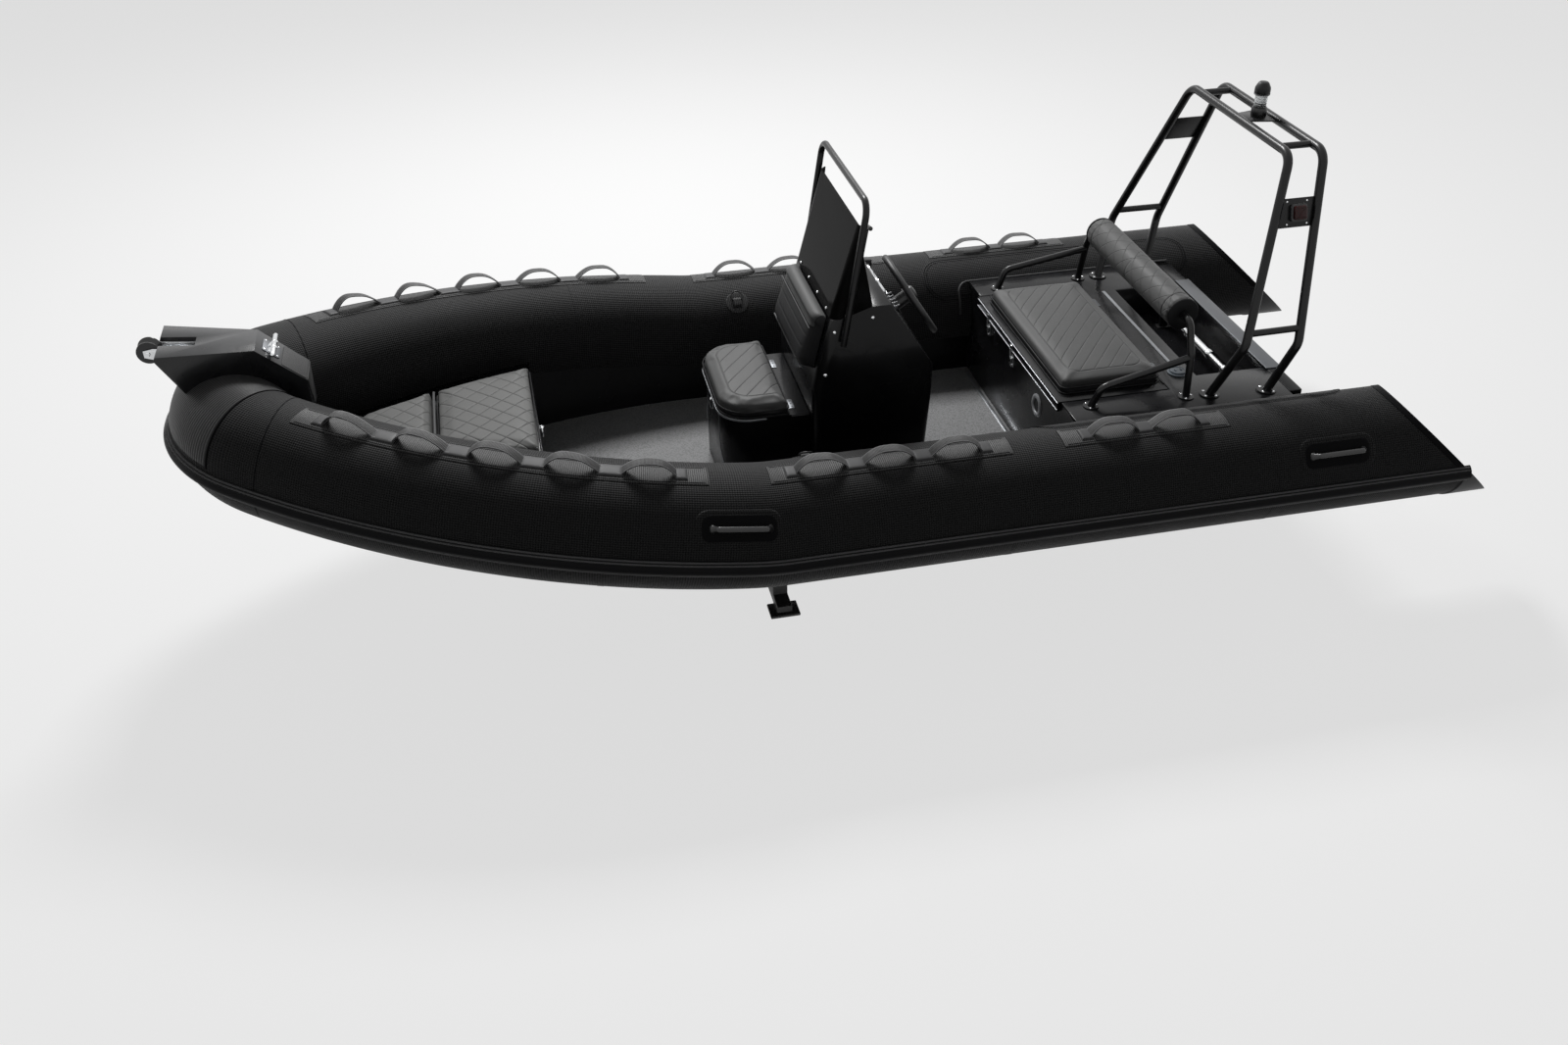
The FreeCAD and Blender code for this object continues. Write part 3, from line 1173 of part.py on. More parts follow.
# Each frame: its x, the half width of its feet and where its uprights stand
CradleFrame = namedtuple("CradleFrame", "x foot_half upright_y")
CRADLE_FRAMES = [CradleFrame(920, 350, 290), CradleFrame(2760, 556, 420)]
BEAM_HALF = 30.0
BEAM_HEIGHT = 40.0
SPINE_HALF = 25.0
SPINE_HEIGHT = 35.0
UPRIGHT_HALF = 50.0
FOOT_HALF = 45.0
FOOT_FLARE = 30.0
FOOT_HEIGHT = 12.0
FOOT_INSET = 25.0
ground = -CRADLE_HEIGHT
cradle = [box(CRADLE_FRAMES[0].x, CRADLE_FRAMES[1].x, -SPINE_HALF, SPINE_HALF, ground, ground + SPINE_HEIGHT)]
for frame in CRADLE_FRAMES:
    x0 = frame.x - BEAM_HALF
    x1 = frame.x + BEAM_HALF
    cradle.append(box(x0, x1, -frame.foot_half, frame.foot_half, ground, ground + BEAM_HEIGHT))
    for side in (-1, 1):
        foot = side * (frame.foot_half - FOOT_INSET)
        cradle.append(box(x0 - FOOT_FLARE, x1 + FOOT_FLARE, foot - FOOT_HALF, foot + FOOT_HALF,
                          ground, ground + FOOT_HEIGHT))
        post = side * frame.upright_y
        cradle.append(box(x0, x1, post - UPRIGHT_HALF, post + UPRIGHT_HALF, ground, FLOOR_Z))
emit("cradle", largest(joined(cradle).cut(bottom)))
print("length", round(FRONT_X, 1), "nose", round(NOSE_X, 1), round(NOSE_Z, 1), "path", round(PATH_LENGTH, 1))
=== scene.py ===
# %% [markdown]
# # A rigid inflatable boat, drawn around its packed construction
# The frame holds every hard piece at its real size. Nothing here moves a frame piece: a cell
# either gives it a finish, or makes a finer piece that stands for it.

# %% Load the frame
import json

import bmesh
import bpy
import numpy as np
from mathutils import Matrix, Vector

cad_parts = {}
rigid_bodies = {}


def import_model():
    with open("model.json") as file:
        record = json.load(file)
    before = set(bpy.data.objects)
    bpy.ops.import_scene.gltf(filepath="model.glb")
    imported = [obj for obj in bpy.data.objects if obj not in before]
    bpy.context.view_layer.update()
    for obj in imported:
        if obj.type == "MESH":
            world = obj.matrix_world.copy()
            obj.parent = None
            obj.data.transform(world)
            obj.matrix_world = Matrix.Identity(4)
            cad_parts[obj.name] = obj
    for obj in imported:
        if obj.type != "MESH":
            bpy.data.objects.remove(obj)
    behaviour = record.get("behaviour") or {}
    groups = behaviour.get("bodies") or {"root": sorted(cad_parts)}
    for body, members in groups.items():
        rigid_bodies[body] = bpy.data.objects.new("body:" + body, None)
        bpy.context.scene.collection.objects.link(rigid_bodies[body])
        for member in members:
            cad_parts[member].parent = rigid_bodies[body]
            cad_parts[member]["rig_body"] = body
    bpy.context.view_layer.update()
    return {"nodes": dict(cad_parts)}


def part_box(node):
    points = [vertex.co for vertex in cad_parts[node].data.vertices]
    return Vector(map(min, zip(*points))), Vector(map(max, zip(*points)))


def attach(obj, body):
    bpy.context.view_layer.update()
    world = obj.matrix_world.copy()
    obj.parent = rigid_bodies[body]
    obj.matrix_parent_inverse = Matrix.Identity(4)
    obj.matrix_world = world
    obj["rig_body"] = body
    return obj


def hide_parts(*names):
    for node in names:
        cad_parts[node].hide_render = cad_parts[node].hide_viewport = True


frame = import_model()
nodes = frame["nodes"]


def span(node):
    """Lowest and highest corner of a frame node, as arrays."""
    low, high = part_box(node)
    return np.array(low, float), np.array(high, float)


def unit(vector):
    """A vector brought to a length of one."""
    return np.asarray(vector, float) / np.linalg.norm(vector)


# %% [markdown]
# ## Camera, light and floor
# The boat is seen from high on its port side, so that the cockpit shows. A camera is a place and
# three turns: heading, tilt and a slight roll. The turns become three axis vectors, and those are
# the columns of its matrix. This comes first, because every later choice of detail is judged in
# this view.

# %% Camera
CAMERA_PLACE = (1.190, 4.966, 3.543)
heading, tilt, roll = np.radians([-101.88, -34.51, -0.76])
look = np.array([np.cos(tilt) * np.cos(heading), np.cos(tilt) * np.sin(heading), np.sin(tilt)])
level = unit(np.cross(look, [0, 0, 1]))
rise = np.cross(level, look)
camera_right = np.cos(roll) * level + np.sin(roll) * rise
camera_up = np.cos(roll) * rise - np.sin(roll) * level
camera_data = bpy.data.cameras.new("camera")
camera_data.lens = 33.0
camera_data.sensor_width = 36.0
camera = bpy.data.objects.new("camera", camera_data)
bpy.context.scene.collection.objects.link(camera)
axes = Matrix(np.stack([camera_right, camera_up, -look], 1).tolist()).to_4x4()
camera.matrix_world = Matrix.Translation(CAMERA_PLACE) @ axes
bpy.context.scene.camera = camera
print("camera", tuple(round(c, 3) for c in camera.location))

# %% [markdown]
# A studio stands in for the open sky. One soft lamp hangs on the far side, about fifty degrees
# up, so the tubes' crowns are lit, their near sides fall into shade, and each strap loop drops a
# shadow below itself. The world adds a low even fill. World and floor show white to the camera,
# to gloss and to glass, so polished parts have something pale to reflect, and the floor still
# takes the boat's shadow. Four short makers of shader nodes come first, since every material
# below is written with them.


# %% Makers of shader nodes
def add(tree, kind, inputs=None, **settings):
    """A node in a tree. Each input is a value, or another node's output to link."""
    node = tree.nodes.new(kind)
    for key, value in settings.items():
        setattr(node, key, value)
    for key, value in (inputs or {}).items():
        if isinstance(value, bpy.types.NodeSocket):
            tree.links.new(value, node.inputs[key])
        else:
            node.inputs[key].default_value = value
    return node


def math(tree, operation, first, second=0.0, third=0.0):
    """One Math node; its output."""
    node = add(tree, "ShaderNodeMath", {0: first, 1: second, 2: third}, operation=operation)
    return node.outputs[0]


def ramp(tree, value, start, end, low, high, kind="LINEAR"):
    """A Map Range node that turns start to end into low to high; its output."""
    node = add(tree, "ShaderNodeMapRange", {"Value": value, "From Min": start, "From Max": end,
                                            "To Min": low, "To Max": high}, interpolation_type=kind)
    return node.outputs["Result"]


def seen_rays(tree):
    """One for rays from the camera, off gloss or through glass, and nothing for other light."""
    rays = add(tree, "ShaderNodeLightPath").outputs
    glossy_too = math(tree, "MAXIMUM", rays["Is Camera Ray"], rays["Is Glossy Ray"])
    return math(tree, "MAXIMUM", glossy_too, rays["Is Transmission Ray"])


# %% Lamp, world and floor
LAMP_PLACE = (0.2, -4.4, 5.8)
LAMP_TARGET = (0, 0, 0.6)
lamp_data = bpy.data.lights.new("key_lamp", "AREA")
lamp_data.shape = "RECTANGLE"
lamp_data.size = 2.2
lamp_data.size_y = 1.5
lamp_data.energy = 410
key_lamp = bpy.data.objects.new("key_lamp", lamp_data)
key_lamp.location = LAMP_PLACE
aim = Vector(LAMP_TARGET) - Vector(LAMP_PLACE)
key_lamp.rotation_euler = aim.to_track_quat("-Z", "Y").to_euler()
bpy.context.scene.collection.objects.link(key_lamp)
world = bpy.data.worlds.new("studio")
world.use_nodes = True
bpy.context.scene.world = world
sky = world.node_tree
strength = ramp(sky, seen_rays(sky), 0.0, 1.0, 0.06, 1.0)
backdrop = sky.nodes["Background"]
backdrop.inputs["Color"].default_value = (1, 1, 1, 1)
sky.links.new(strength, backdrop.inputs["Strength"])

floor_mesh = bpy.data.meshes.new("studio_floor")
reach = 160.0
floor_corners = [(-reach, -reach, 0), (reach, -reach, 0), (reach, reach, 0), (-reach, reach, 0)]
floor_mesh.from_pydata(floor_corners, [], [(0, 1, 2, 3)])
studio_floor = bpy.data.objects.new("studio_floor", floor_mesh)
bpy.context.scene.collection.objects.link(studio_floor)
paper = bpy.data.materials.new("floor_paper")
paper.use_nodes = True
tree = paper.node_tree
matt = tree.nodes["Principled BSDF"]
matt.inputs["Roughness"].default_value = 0.9
matt.inputs["Specular IOR Level"].default_value = 0.1
glow = add(tree, "ShaderNodeEmission", {"Color": (1, 1, 1, 1), "Strength": 1.0})
shown = seen_rays(tree)
pale = add(tree, "ShaderNodeMix", {"Factor": shown, "A": (0.20, 0.20, 0.20, 1),
                                   "B": (0.88, 0.88, 0.88, 1)}, data_type="RGBA")
tree.links.new(pale.outputs[2], matt.inputs["Base Color"])
glow_share = math(tree, "MULTIPLY", shown, 0.70)
both = add(tree, "ShaderNodeMixShader", {0: glow_share, 1: matt.outputs[0], 2: glow.outputs[0]})
tree.links.new(both.outputs[0], tree.nodes["Material Output"].inputs["Surface"])
floor_mesh.materials.append(paper)
bpy.context.scene.view_settings.view_transform = "Standard"

# %% [markdown]
# ## The tube's centreline
# Both tubes follow one line: straight from the stern, a short bend upwards (the sheer), a long bend
# inwards, and a tight one round the nose. Past the nose the line comes back down the other side, so
# one surface can run from one stern to the other with no seam. It is worked out once, for whole
# arrays of distances at a time.

# %% Driving sizes, in metres
TUBE_R = 0.225
SHEER_TURN = np.radians(7.4)
SHEER_R = 1.0
BOW_TURN = np.radians(35.6)
BOW_R = 2.815
STRAIGHT = 2.825
TIP_LENGTH = 0.215
PATCH_T = 0.003

tube_low, tube_high = span("tube_port")
STERN_X = span("tube_tips")[0][0]
AXIS_Z = tube_low[2] + TUBE_R
AXIS_Y = tube_high[1] - TUBE_R
NOSE_R = (AXIS_Y - BOW_R * (1 - np.cos(BOW_TURN))) / np.cos(BOW_TURN)
NOSE_TURN = np.pi / 2 - BOW_TURN
STRETCH_ENDS = np.cumsum([STRAIGHT, SHEER_R * SHEER_TURN, BOW_R * BOW_TURN, NOSE_R * NOSE_TURN])
PATH_LENGTH = STRETCH_ENDS[-1]
print("tube path", round(PATH_LENGTH, 4), "nose", round(tube_high[0], 4))


# %% Frames along the centreline
def along(s):
    """Centre, forward, outboard and up vectors at distances s from the port stern.
    Straight: move in x. Sheer: turn about y. Bow and nose: turn about the tilted up axis,
    where a turn by b moves R sin b forward and R (1 - cos b) inboard. Past the nose, s counts
    back from twice the path's length and y changes sign."""
    s = np.asarray(s, float)
    past = s > PATH_LENGTH
    s = np.where(past, 2 * PATH_LENGTH - s, s)
    ahead, out, up = np.array([1.0, 0, 0]), np.array([0, 1.0, 0]), np.array([0, 0, 1.0])
    a = (np.clip(s - STRETCH_ENDS[0], 0, SHEER_R * SHEER_TURN) / SHEER_R)[..., None]
    b = (np.clip(s - STRETCH_ENDS[1], 0, BOW_R * BOW_TURN) / BOW_R)[..., None]
    c = (np.clip(s - STRETCH_ENDS[2], 0, NOSE_R * NOSE_TURN) / NOSE_R)[..., None]
    centre = np.array([STERN_X, AXIS_Y, AXIS_Z]) + np.minimum(s, STRAIGHT)[..., None] * ahead
    centre = centre + SHEER_R * (np.sin(a) * ahead + (1 - np.cos(a)) * up)
    forward = np.cos(a) * ahead + np.sin(a) * up
    upward = np.cos(a) * up - np.sin(a) * ahead
    centre = centre + BOW_R * (np.sin(b) * forward - (1 - np.cos(b)) * out)
    at_bow = np.cos(b) * forward - np.sin(b) * out
    out_bow = np.cos(b) * out + np.sin(b) * forward
    centre = centre + NOSE_R * (np.sin(c) * at_bow - (1 - np.cos(c)) * out_bow)
    at_nose = np.cos(c) * at_bow - np.sin(c) * out_bow
    out_nose = np.cos(c) * out_bow + np.sin(c) * at_bow
    flip = np.where(past, -1.0, 1.0)[..., None] * np.array([0, 1.0, 0]) + np.array([1.0, 0, 1.0])
    return centre * flip, at_nose * flip, out_nose * flip, upward * flip


def on_skin(s, angle, radius):
    """Points at an angle from the outboard horizontal and at a radius about the centreline."""
    centre, _, out, up = along(s)
    radius = np.asarray(radius, float)
    turn_out = (radius * np.cos(angle))[..., None]
    turn_up = (radius * np.sin(angle))[..., None]
    return centre + turn_out * out + turn_up * up


def stood_on_tube(local, s, angle, height):
    """Local points (along, round, off the skin) stood on the tube at a distance and an angle."""
    centre, forward, out, up = along(s)
    radial = np.cos(angle) * out + np.sin(angle) * up
    across = np.sin(angle) * out - np.cos(angle) * up
    local = np.asarray(local, float)
    return (centre + local[..., :1] * forward + local[..., 1:2] * across
            + (TUBE_R + height + local[..., 2:3]) * radial)


def at(x, y, z):
    """A place given from the stern tip and the tubes' centre height, in the frame's own axes."""
    return np.array([STERN_X + x, y, AXIS_Z + z])


# %% [markdown]
# ## Shapes from arrays
# A shape here is a pair: an array of points and a list of faces. Small makers turn a profile and a
# path, a turned outline or a flat outline into such a pair, and pairs can be joined before they
# become one mesh. All of them work on whole arrays, so a strap or a screw costs one line.


# %% Grids, sweeps and turned shapes
def grid_faces(rows, columns, wrap_rows=False, wrap_columns=False, flip=False):
    """Quads of a grid of rows by columns points, closed round where asked."""
    i = np.arange(rows if wrap_rows else rows - 1)
    j = np.arange(columns if wrap_columns else columns - 1)
    i, j = (a.ravel() for a in np.meshgrid(i, j, indexing="ij"))
    i2, j2 = (i + 1) % rows, (j + 1) % columns
    quad = np.stack([i * columns + j, i2 * columns + j, i2 * columns + j2, i * columns + j2], 1)
    return (quad[:, ::-1] if flip else quad).tolist()


def ring_stack(rings):
    """Rings of equal count, one above the other, closed at both ends with a flat face."""
    rings = np.asarray(rings, float)
    rows, columns = rings.shape[:2]
    faces = grid_faces(rows, columns, wrap_columns=True)
    faces.append(list(range(columns)))
    faces.append(list(range((rows - 1) * columns, rows * columns))[::-1])
    return rings.reshape(-1, 3), faces


def run_length(path):
    """The distance along a line of points, from its first point to each one."""
    return np.concatenate([[0], np.cumsum(np.linalg.norm(np.diff(path, axis=0), axis=1))])


def swept(path, section, up=(0, 0, 1), closed=False):
    """A flat section (sideways, upwards) carried along a path of points. At each point the
    section stands across the path's direction, with its own up nearest to the given one."""
    path = np.asarray(path, float)
    ahead = np.roll(path, -1, 0) - np.roll(path, 1, 0)
    if not closed:
        ahead[0] = path[1] - path[0]
        ahead[-1] = path[-1] - path[-2]
    ahead /= np.linalg.norm(ahead, axis=1)[:, None]
    up = np.broadcast_to(np.asarray(up, float), path.shape)
    side = np.cross(ahead, up)
    side /= np.linalg.norm(side, axis=1)[:, None]
    over = np.cross(side, ahead)
    section = np.asarray(section, float)
    section = np.broadcast_to(section, (len(path),) + section.shape[-2:])
    rings = (path[:, None] + section[..., :1] * side[:, None] + section[..., 1:] * over[:, None])
    if not closed:
        return ring_stack(rings)
    rows, columns = rings.shape[:2]
    return rings.reshape(-1, 3), grid_faces(rows, columns, wrap_rows=True, wrap_columns=True)


def circle(radius, count=16):
    """A round section: radius times cosine and sine of evenly spaced turns."""
    turn = np.linspace(0, 2 * np.pi, count, endpoint=False)
    return radius * np.stack([np.cos(turn), np.sin(turn)], 1)


def square_round(width, height, corner, steps=4):
    """A rectangle with rounded corners: quarter circles about the four inner corners."""
    turn = np.linspace(0, np.pi / 2, steps + 1)
    arc = corner * np.stack([np.cos(turn), np.sin(turn)], 1)
    middle = np.array([width / 2 - corner, height / 2 - corner])
    quarter = np.array([[0, -1], [1, 0]])
    corners = [arc + middle, arc @ quarter.T + middle * [-1, 1], -arc - middle,
               -(arc @ quarter.T) + middle * [1, -1]]
    return np.concatenate(corners)


def axes_for(direction):
    """Two unit vectors at right angles to a direction and to each other."""
    direction = unit(direction)
    other = np.array([0, 0, 1.0]) if abs(direction[2]) < 0.9 else np.array([1.0, 0, 0])
    first = unit(np.cross(other, direction))
    return direction, first, np.cross(direction, first)


def turned(outline, base, direction, count=28):
    """An outline of (distance, radius) pairs spun about an axis: each pair becomes a ring."""
    direction, first, second = axes_for(direction)
    outline = np.asarray(outline, float)
    ring = circle(1.0, count)
    round_it = ring[:, :1] * first + ring[:, 1:] * second
    rings = (np.asarray(base, float) + outline[:, None, :1] * direction
             + outline[:, None, 1:] * round_it)
    return ring_stack(rings)


def turned_ring(outline, base, direction, count):
    """A closed outline spun about an axis: a ring with a hole through it."""
    points, _ = turned(outline, base, direction, count)
    return points, grid_faces(len(outline), count, wrap_rows=True, wrap_columns=True)


def inset_outline(outline, inset):
    """A closed flat outline moved inwards by a distance, along the mean of its edges' normals."""
    edge = np.roll(outline, -1, 0) - outline
    edge = edge / np.maximum(np.linalg.norm(edge, axis=1), 1e-9)[:, None]
    normal = np.stack([-edge[:, 1], edge[:, 0]], 1)
    mean = normal + np.roll(normal, 1, 0)
    mean = mean / np.maximum((mean ** 2).sum(1), 0.3)[:, None] * 2
    return outline + mean * inset


def slab(outline, levels, origin=(0, 0, 0), x_axis=(1, 0, 0), y_axis=(0, 1, 0)):
    """An anticlockwise outline stacked at (inset, height) levels, in a plane of its own."""
    x_axis = unit(x_axis)
    z_axis = unit(np.cross(x_axis, y_axis))
    y_axis = np.cross(z_axis, x_axis)
    rings = []
    for inset, height in levels:
        ring = inset_outline(np.asarray(outline, float), inset)
        rings.append(origin + ring[:, :1] * x_axis + ring[:, 1:] * y_axis + height * z_axis)
    return ring_stack(rings)


def plate(sides, edges, *place):
    """A rounded rectangle of (width, height, corner) with (thickness, edge), in a plane."""
    return slab(square_round(*sides), eased(*edges), *place)


def eased(thickness, edge):
    """Levels of a slab whose upper and lower edges are eased by a small radius."""
    low = [(edge, 0), (edge * 0.3, edge * 0.3), (0, edge)]
    return low + [(inset, thickness - height) for inset, height in reversed(low)]


def joined(*shapes):
    """Several shapes as one: the faces of each count on from the points before it."""
    starts = np.cumsum([0] + [len(points) for points, _ in shapes])
    faces = [[v + int(start) for v in face]
             for start, (_, group) in zip(starts, shapes) for face in group]
    return np.concatenate([points for points, _ in shapes]), faces


def mirrored(shape):
    """A shape and its mirror image across the keel plane."""
    points, faces = shape
    return joined(shape, (points * [1, -1, 1], [face[::-1] for face in faces]))


# %% Shapes to objects
def points_of(mesh):
    """A mesh's points, one row for each."""
    co = np.empty(len(mesh.vertices) * 3)
    mesh.vertices.foreach_get("co", co)
    return co.reshape(-1, 3)


def lay_uv(mesh, uv):
    """Give a mesh its UV map from one pair per point."""
    index = np.empty(len(mesh.loops), int)
    mesh.loops.foreach_get("vertex_index", index)
    layer = mesh.uv_layers.new(name="UVMap")
    layer.data.foreach_set("uv", np.asarray(uv, float).reshape(-1, 2)[index].ravel())


def riding_object(name, mesh, body):
    """An object for a mesh, that moves with a body."""
    obj = bpy.data.objects.new(name, mesh)
    bpy.context.scene.collection.objects.link(obj)
    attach(obj, body)
    return obj


def as_modified(obj):
    """A new mesh: the object's own, as its modifiers leave it."""
    shown_now = obj.evaluated_get(bpy.context.evaluated_depsgraph_get())
    return bpy.data.meshes.new_from_object(shown_now)


def mesh_object(name, shape, body="boat", uv=None, smooth_angle=40):
    """A shape to an object on a body. uv is one pair per point, in metres. Edges that turn by
    more than the angle stay sharp."""
    points, faces = shape
    mesh = bpy.data.meshes.new(name)
    mesh.from_pydata(np.asarray(points, float).reshape(-1, 3).tolist(), [], faces)
    if uv is not None:
        lay_uv(mesh, uv)
    cleaned(mesh, 1e-5)
    mesh.set_sharp_from_angle(angle=np.radians(smooth_angle))
    return riding_object(name, mesh, body)


def cleaned(mesh, merge, flat_angle=None):
    """Merge doubled points, join flat neighbours where an angle is given, turn every face outwards
    and shade it smoothly."""
    work = bmesh.new()
    work.from_mesh(mesh)
    bmesh.ops.remove_doubles(work, verts=work.verts, dist=merge)
    if flat_angle is not None:
        bmesh.ops.dissolve_limit(work, angle_limit=flat_angle, verts=work.verts, edges=work.edges)
    bmesh.ops.recalc_face_normals(work, faces=work.faces)
    work.to_mesh(mesh)
    work.free()
    mesh.polygons.foreach_set("use_smooth", [True] * len(mesh.polygons))


def finished(obj, finish, slot, *stands_for):
    """Give a piece its material, and hide the frame nodes that it stands for. The slot is not used.
    """
    obj.data.materials.clear()
    obj.data.materials.append(finish)
    if stands_for:
        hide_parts(*stands_for)
    print(obj.name, "faces", len(obj.data.polygons))
    return obj


def piece(name, shape, finish, slot, *stands_for, body="boat", uv=None, smooth_angle=40):
    """A shape made an object and given its finish, in one line."""
    obj = mesh_object(name, shape, body, uv, smooth_angle)
    return finished(obj, finish, slot, *stands_for)


def softened(node, width, segments=2):
    """A copy of a hard node with its doubled points merged and its edges eased by a bevel."""
    source = nodes[node]
    obj = riding_object(node + "_eased", source.data.copy(), source["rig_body"])
    cleaned(obj.data, 2e-5, np.radians(1))
    bevel = obj.modifiers.new("eased_edges", "BEVEL")
    bevel.width = width
    bevel.segments = segments
    bevel.limit_method = "ANGLE"
    bevel.angle_limit = np.radians(35)
    baked = as_modified(obj)
    obj.modifiers.clear()
    obj.data = baked
    obj.data.set_sharp_from_angle(angle=np.radians(30))
    return obj


print("shape makers ready")

# %% [markdown]
# ## Finishes
# Every finish is a Principled shader whose steady numbers sit on its own sockets, with small node
# groups in front of it for what varies: a cloudy change of shade, a fine grain, a woven or ribbed
# relief, lines of stitching. A group only hands out colours, masks and heights, so one weave serves
# the tubes at one pitch and the strapping at another.


# %% Node groups: clouds, weave, ribs and stitched lines
def new_group(name, inputs, outputs):
    """An empty shader group with named inputs (kind, default) and outputs (kind)."""
    group = bpy.data.node_groups.new(name, "ShaderNodeTree")
    for title, (kind, value) in inputs.items():
        socket = group.interface.new_socket(title, in_out="INPUT", socket_type="NodeSocket" + kind)
        if value is not None:
            socket.default_value = value
    for title, kind in outputs.items():
        group.interface.new_socket(title, in_out="OUTPUT", socket_type="NodeSocket" + kind)
    return group, group.nodes.new("NodeGroupInput"), group.nodes.new("NodeGroupOutput")


clouds, given, out = new_group("clouds", {"Vector": ("Vector", None), "Scale": ("Float", 4.0)},
                               {"Broad": "Float", "Fine": "Float"})
where, scale = given.outputs["Vector"], given.outputs["Scale"]
broad = add(clouds, "ShaderNodeTexNoise", {"Vector": where, "Scale": scale, "Detail": 3.0,
                                           "Roughness": 0.55})
finer = math(clouds, "MULTIPLY", scale, 60.0)
fine = add(clouds, "ShaderNodeTexNoise", {"Vector": where, "Scale": finer, "Detail": 2.0})
clouds.links.new(broad.outputs["Fac"], out.inputs["Broad"])
clouds.links.new(fine.outputs["Fac"], out.inputs["Fine"])

# The weave: two sets of ridges at right angles, lying at 45 degrees to the tube. The height is
# the product of two waves along the diagonals u + v and u - v: rows of small raised diamonds.
WAVES = {"Vector": ("Vector", None), "Pitch": ("Float", 0.006)}
weave, given, out = new_group("diagonal_weave", WAVES, {"Height": "Float"})
parts = add(weave, "ShaderNodeSeparateXYZ", {"Vector": given.outputs["Vector"]})
turns = math(weave, "DIVIDE", np.pi * 2, given.outputs["Pitch"])
rising = math(weave, "ADD", parts.outputs["X"], parts.outputs["Y"])
falling = math(weave, "SUBTRACT", parts.outputs["X"], parts.outputs["Y"])
half_turns = math(weave, "MULTIPLY", turns, 0.5)
wave_up = math(weave, "SINE", math(weave, "MULTIPLY", rising, half_turns))
wave_down = math(weave, "SINE", math(weave, "MULTIPLY", falling, half_turns))
raised = math(weave, "MULTIPLY_ADD", math(weave, "MULTIPLY", wave_up, wave_down), 0.5, 0.5)
weave.links.new(raised, out.inputs["Height"])

# Ribs: one wave along u.
ribs, given, out = new_group("ribs", WAVES, {"Height": "Float"})
parts = add(ribs, "ShaderNodeSeparateXYZ", {"Vector": given.outputs["Vector"]})
turns = math(ribs, "DIVIDE", np.pi * 2, given.outputs["Pitch"])
wave = math(ribs, "SINE", math(ribs, "MULTIPLY", parts.outputs["X"], turns))
ribs.links.new(math(ribs, "MULTIPLY_ADD", wave, 0.5, 0.5), out.inputs["Height"])

# Stitched lines: the distance to the nearest of a set of parallel lines makes a soft channel, and
# a thin dashed thread along its bottom.
stitched, given, out = new_group(
    "stitched_lines",
    {"Vector": ("Vector", None), "Turn": ("Float", 0.0), "Pitch": ("Float", 0.06)},
    {"Channel": "Float", "Thread": "Float"})
laid = add(stitched, "ShaderNodeVectorRotate", {"Vector": given.outputs["Vector"],
                                                "Angle": given.outputs["Turn"]},
           rotation_type="Z_AXIS")
parts = add(stitched, "ShaderNodeSeparateXYZ", {"Vector": laid.outputs["Vector"]})
half_pitch = math(stitched, "MULTIPLY", given.outputs["Pitch"], 0.5)
away = math(stitched, "PINGPONG", parts.outputs["X"], half_pitch)
channel = ramp(stitched, away, 0.0, 0.0026, 1.0, 0.0, "SMOOTHSTEP")
on_line = math(stitched, "LESS_THAN", away, 0.0007)
dash = math(stitched, "GREATER_THAN", math(stitched, "PINGPONG", parts.outputs["Y"], 0.004), 0.0009)
stitched.links.new(channel, out.inputs["Channel"])
stitched.links.new(math(stitched, "MULTIPLY", on_line, dash), out.inputs["Thread"])
print("groups", sorted(g.name for g in bpy.data.node_groups))


# %% A finish with clouds of shade, and roughness that varies a little
def own_place(tree):
    """The place in Object coordinates."""
    return add(tree, "ShaderNodeTexCoord").outputs["Object"]


def own_uv(tree):
    """The place in the piece's own UV map."""
    return add(tree, "ShaderNodeUVMap", uv_map="UVMap").outputs["UV"]


def new_finish(name, dark, light, rough, metallic=0.0, specular=0.5, scale=4.0, grain=0.0,
               **sockets):
    """A material whose colour drifts between two shades and whose roughness drifts by 0.06 each
    way. Its fine grain is a bump of the given depth in metres. Returns it, its tree and shader."""
    material = bpy.data.materials.new(name)
    material.use_nodes = True
    tree = material.node_tree
    shader = tree.nodes["Principled BSDF"]
    shader.inputs["Metallic"].default_value = metallic
    shader.inputs["Specular IOR Level"].default_value = specular
    for key, value in sockets.items():
        shader.inputs[key.replace("_", " ")].default_value = value
    group = add(tree, "ShaderNodeGroup", node_tree=clouds)
    tree.links.new(own_place(tree), group.inputs["Vector"])
    group.inputs["Scale"].default_value = scale
    broad = group.outputs["Broad"]
    shade = add(tree, "ShaderNodeMix", {"Factor": broad, "A": (*dark, 1), "B": (*light, 1)},
                data_type="RGBA")
    tree.links.new(shade.outputs[2], shader.inputs["Base Color"])
    spread = ramp(tree, broad, 0.3, 0.7, rough - 0.06, rough + 0.06)
    tree.links.new(spread, shader.inputs["Roughness"])
    if grain:
        relief(tree, shader, group.outputs["Fine"], grain)
    return material, tree, shader


def plain_finish(*looks, **settings):
    """A finish that needs no more nodes than new_finish gives it."""
    return new_finish(*looks, **settings)[0]


def relief(tree, shader, height, depth, chain=None):
    """A bump from a height, of a depth in metres, laid over an earlier one."""
    bump = add(tree, "ShaderNodeBump", {"Height": height, "Distance": depth, "Strength": 1.0})
    if chain is not None:
        tree.links.new(chain, bump.inputs["Normal"])
    tree.links.new(bump.outputs["Normal"], shader.inputs["Normal"])
    return bump.outputs["Normal"]


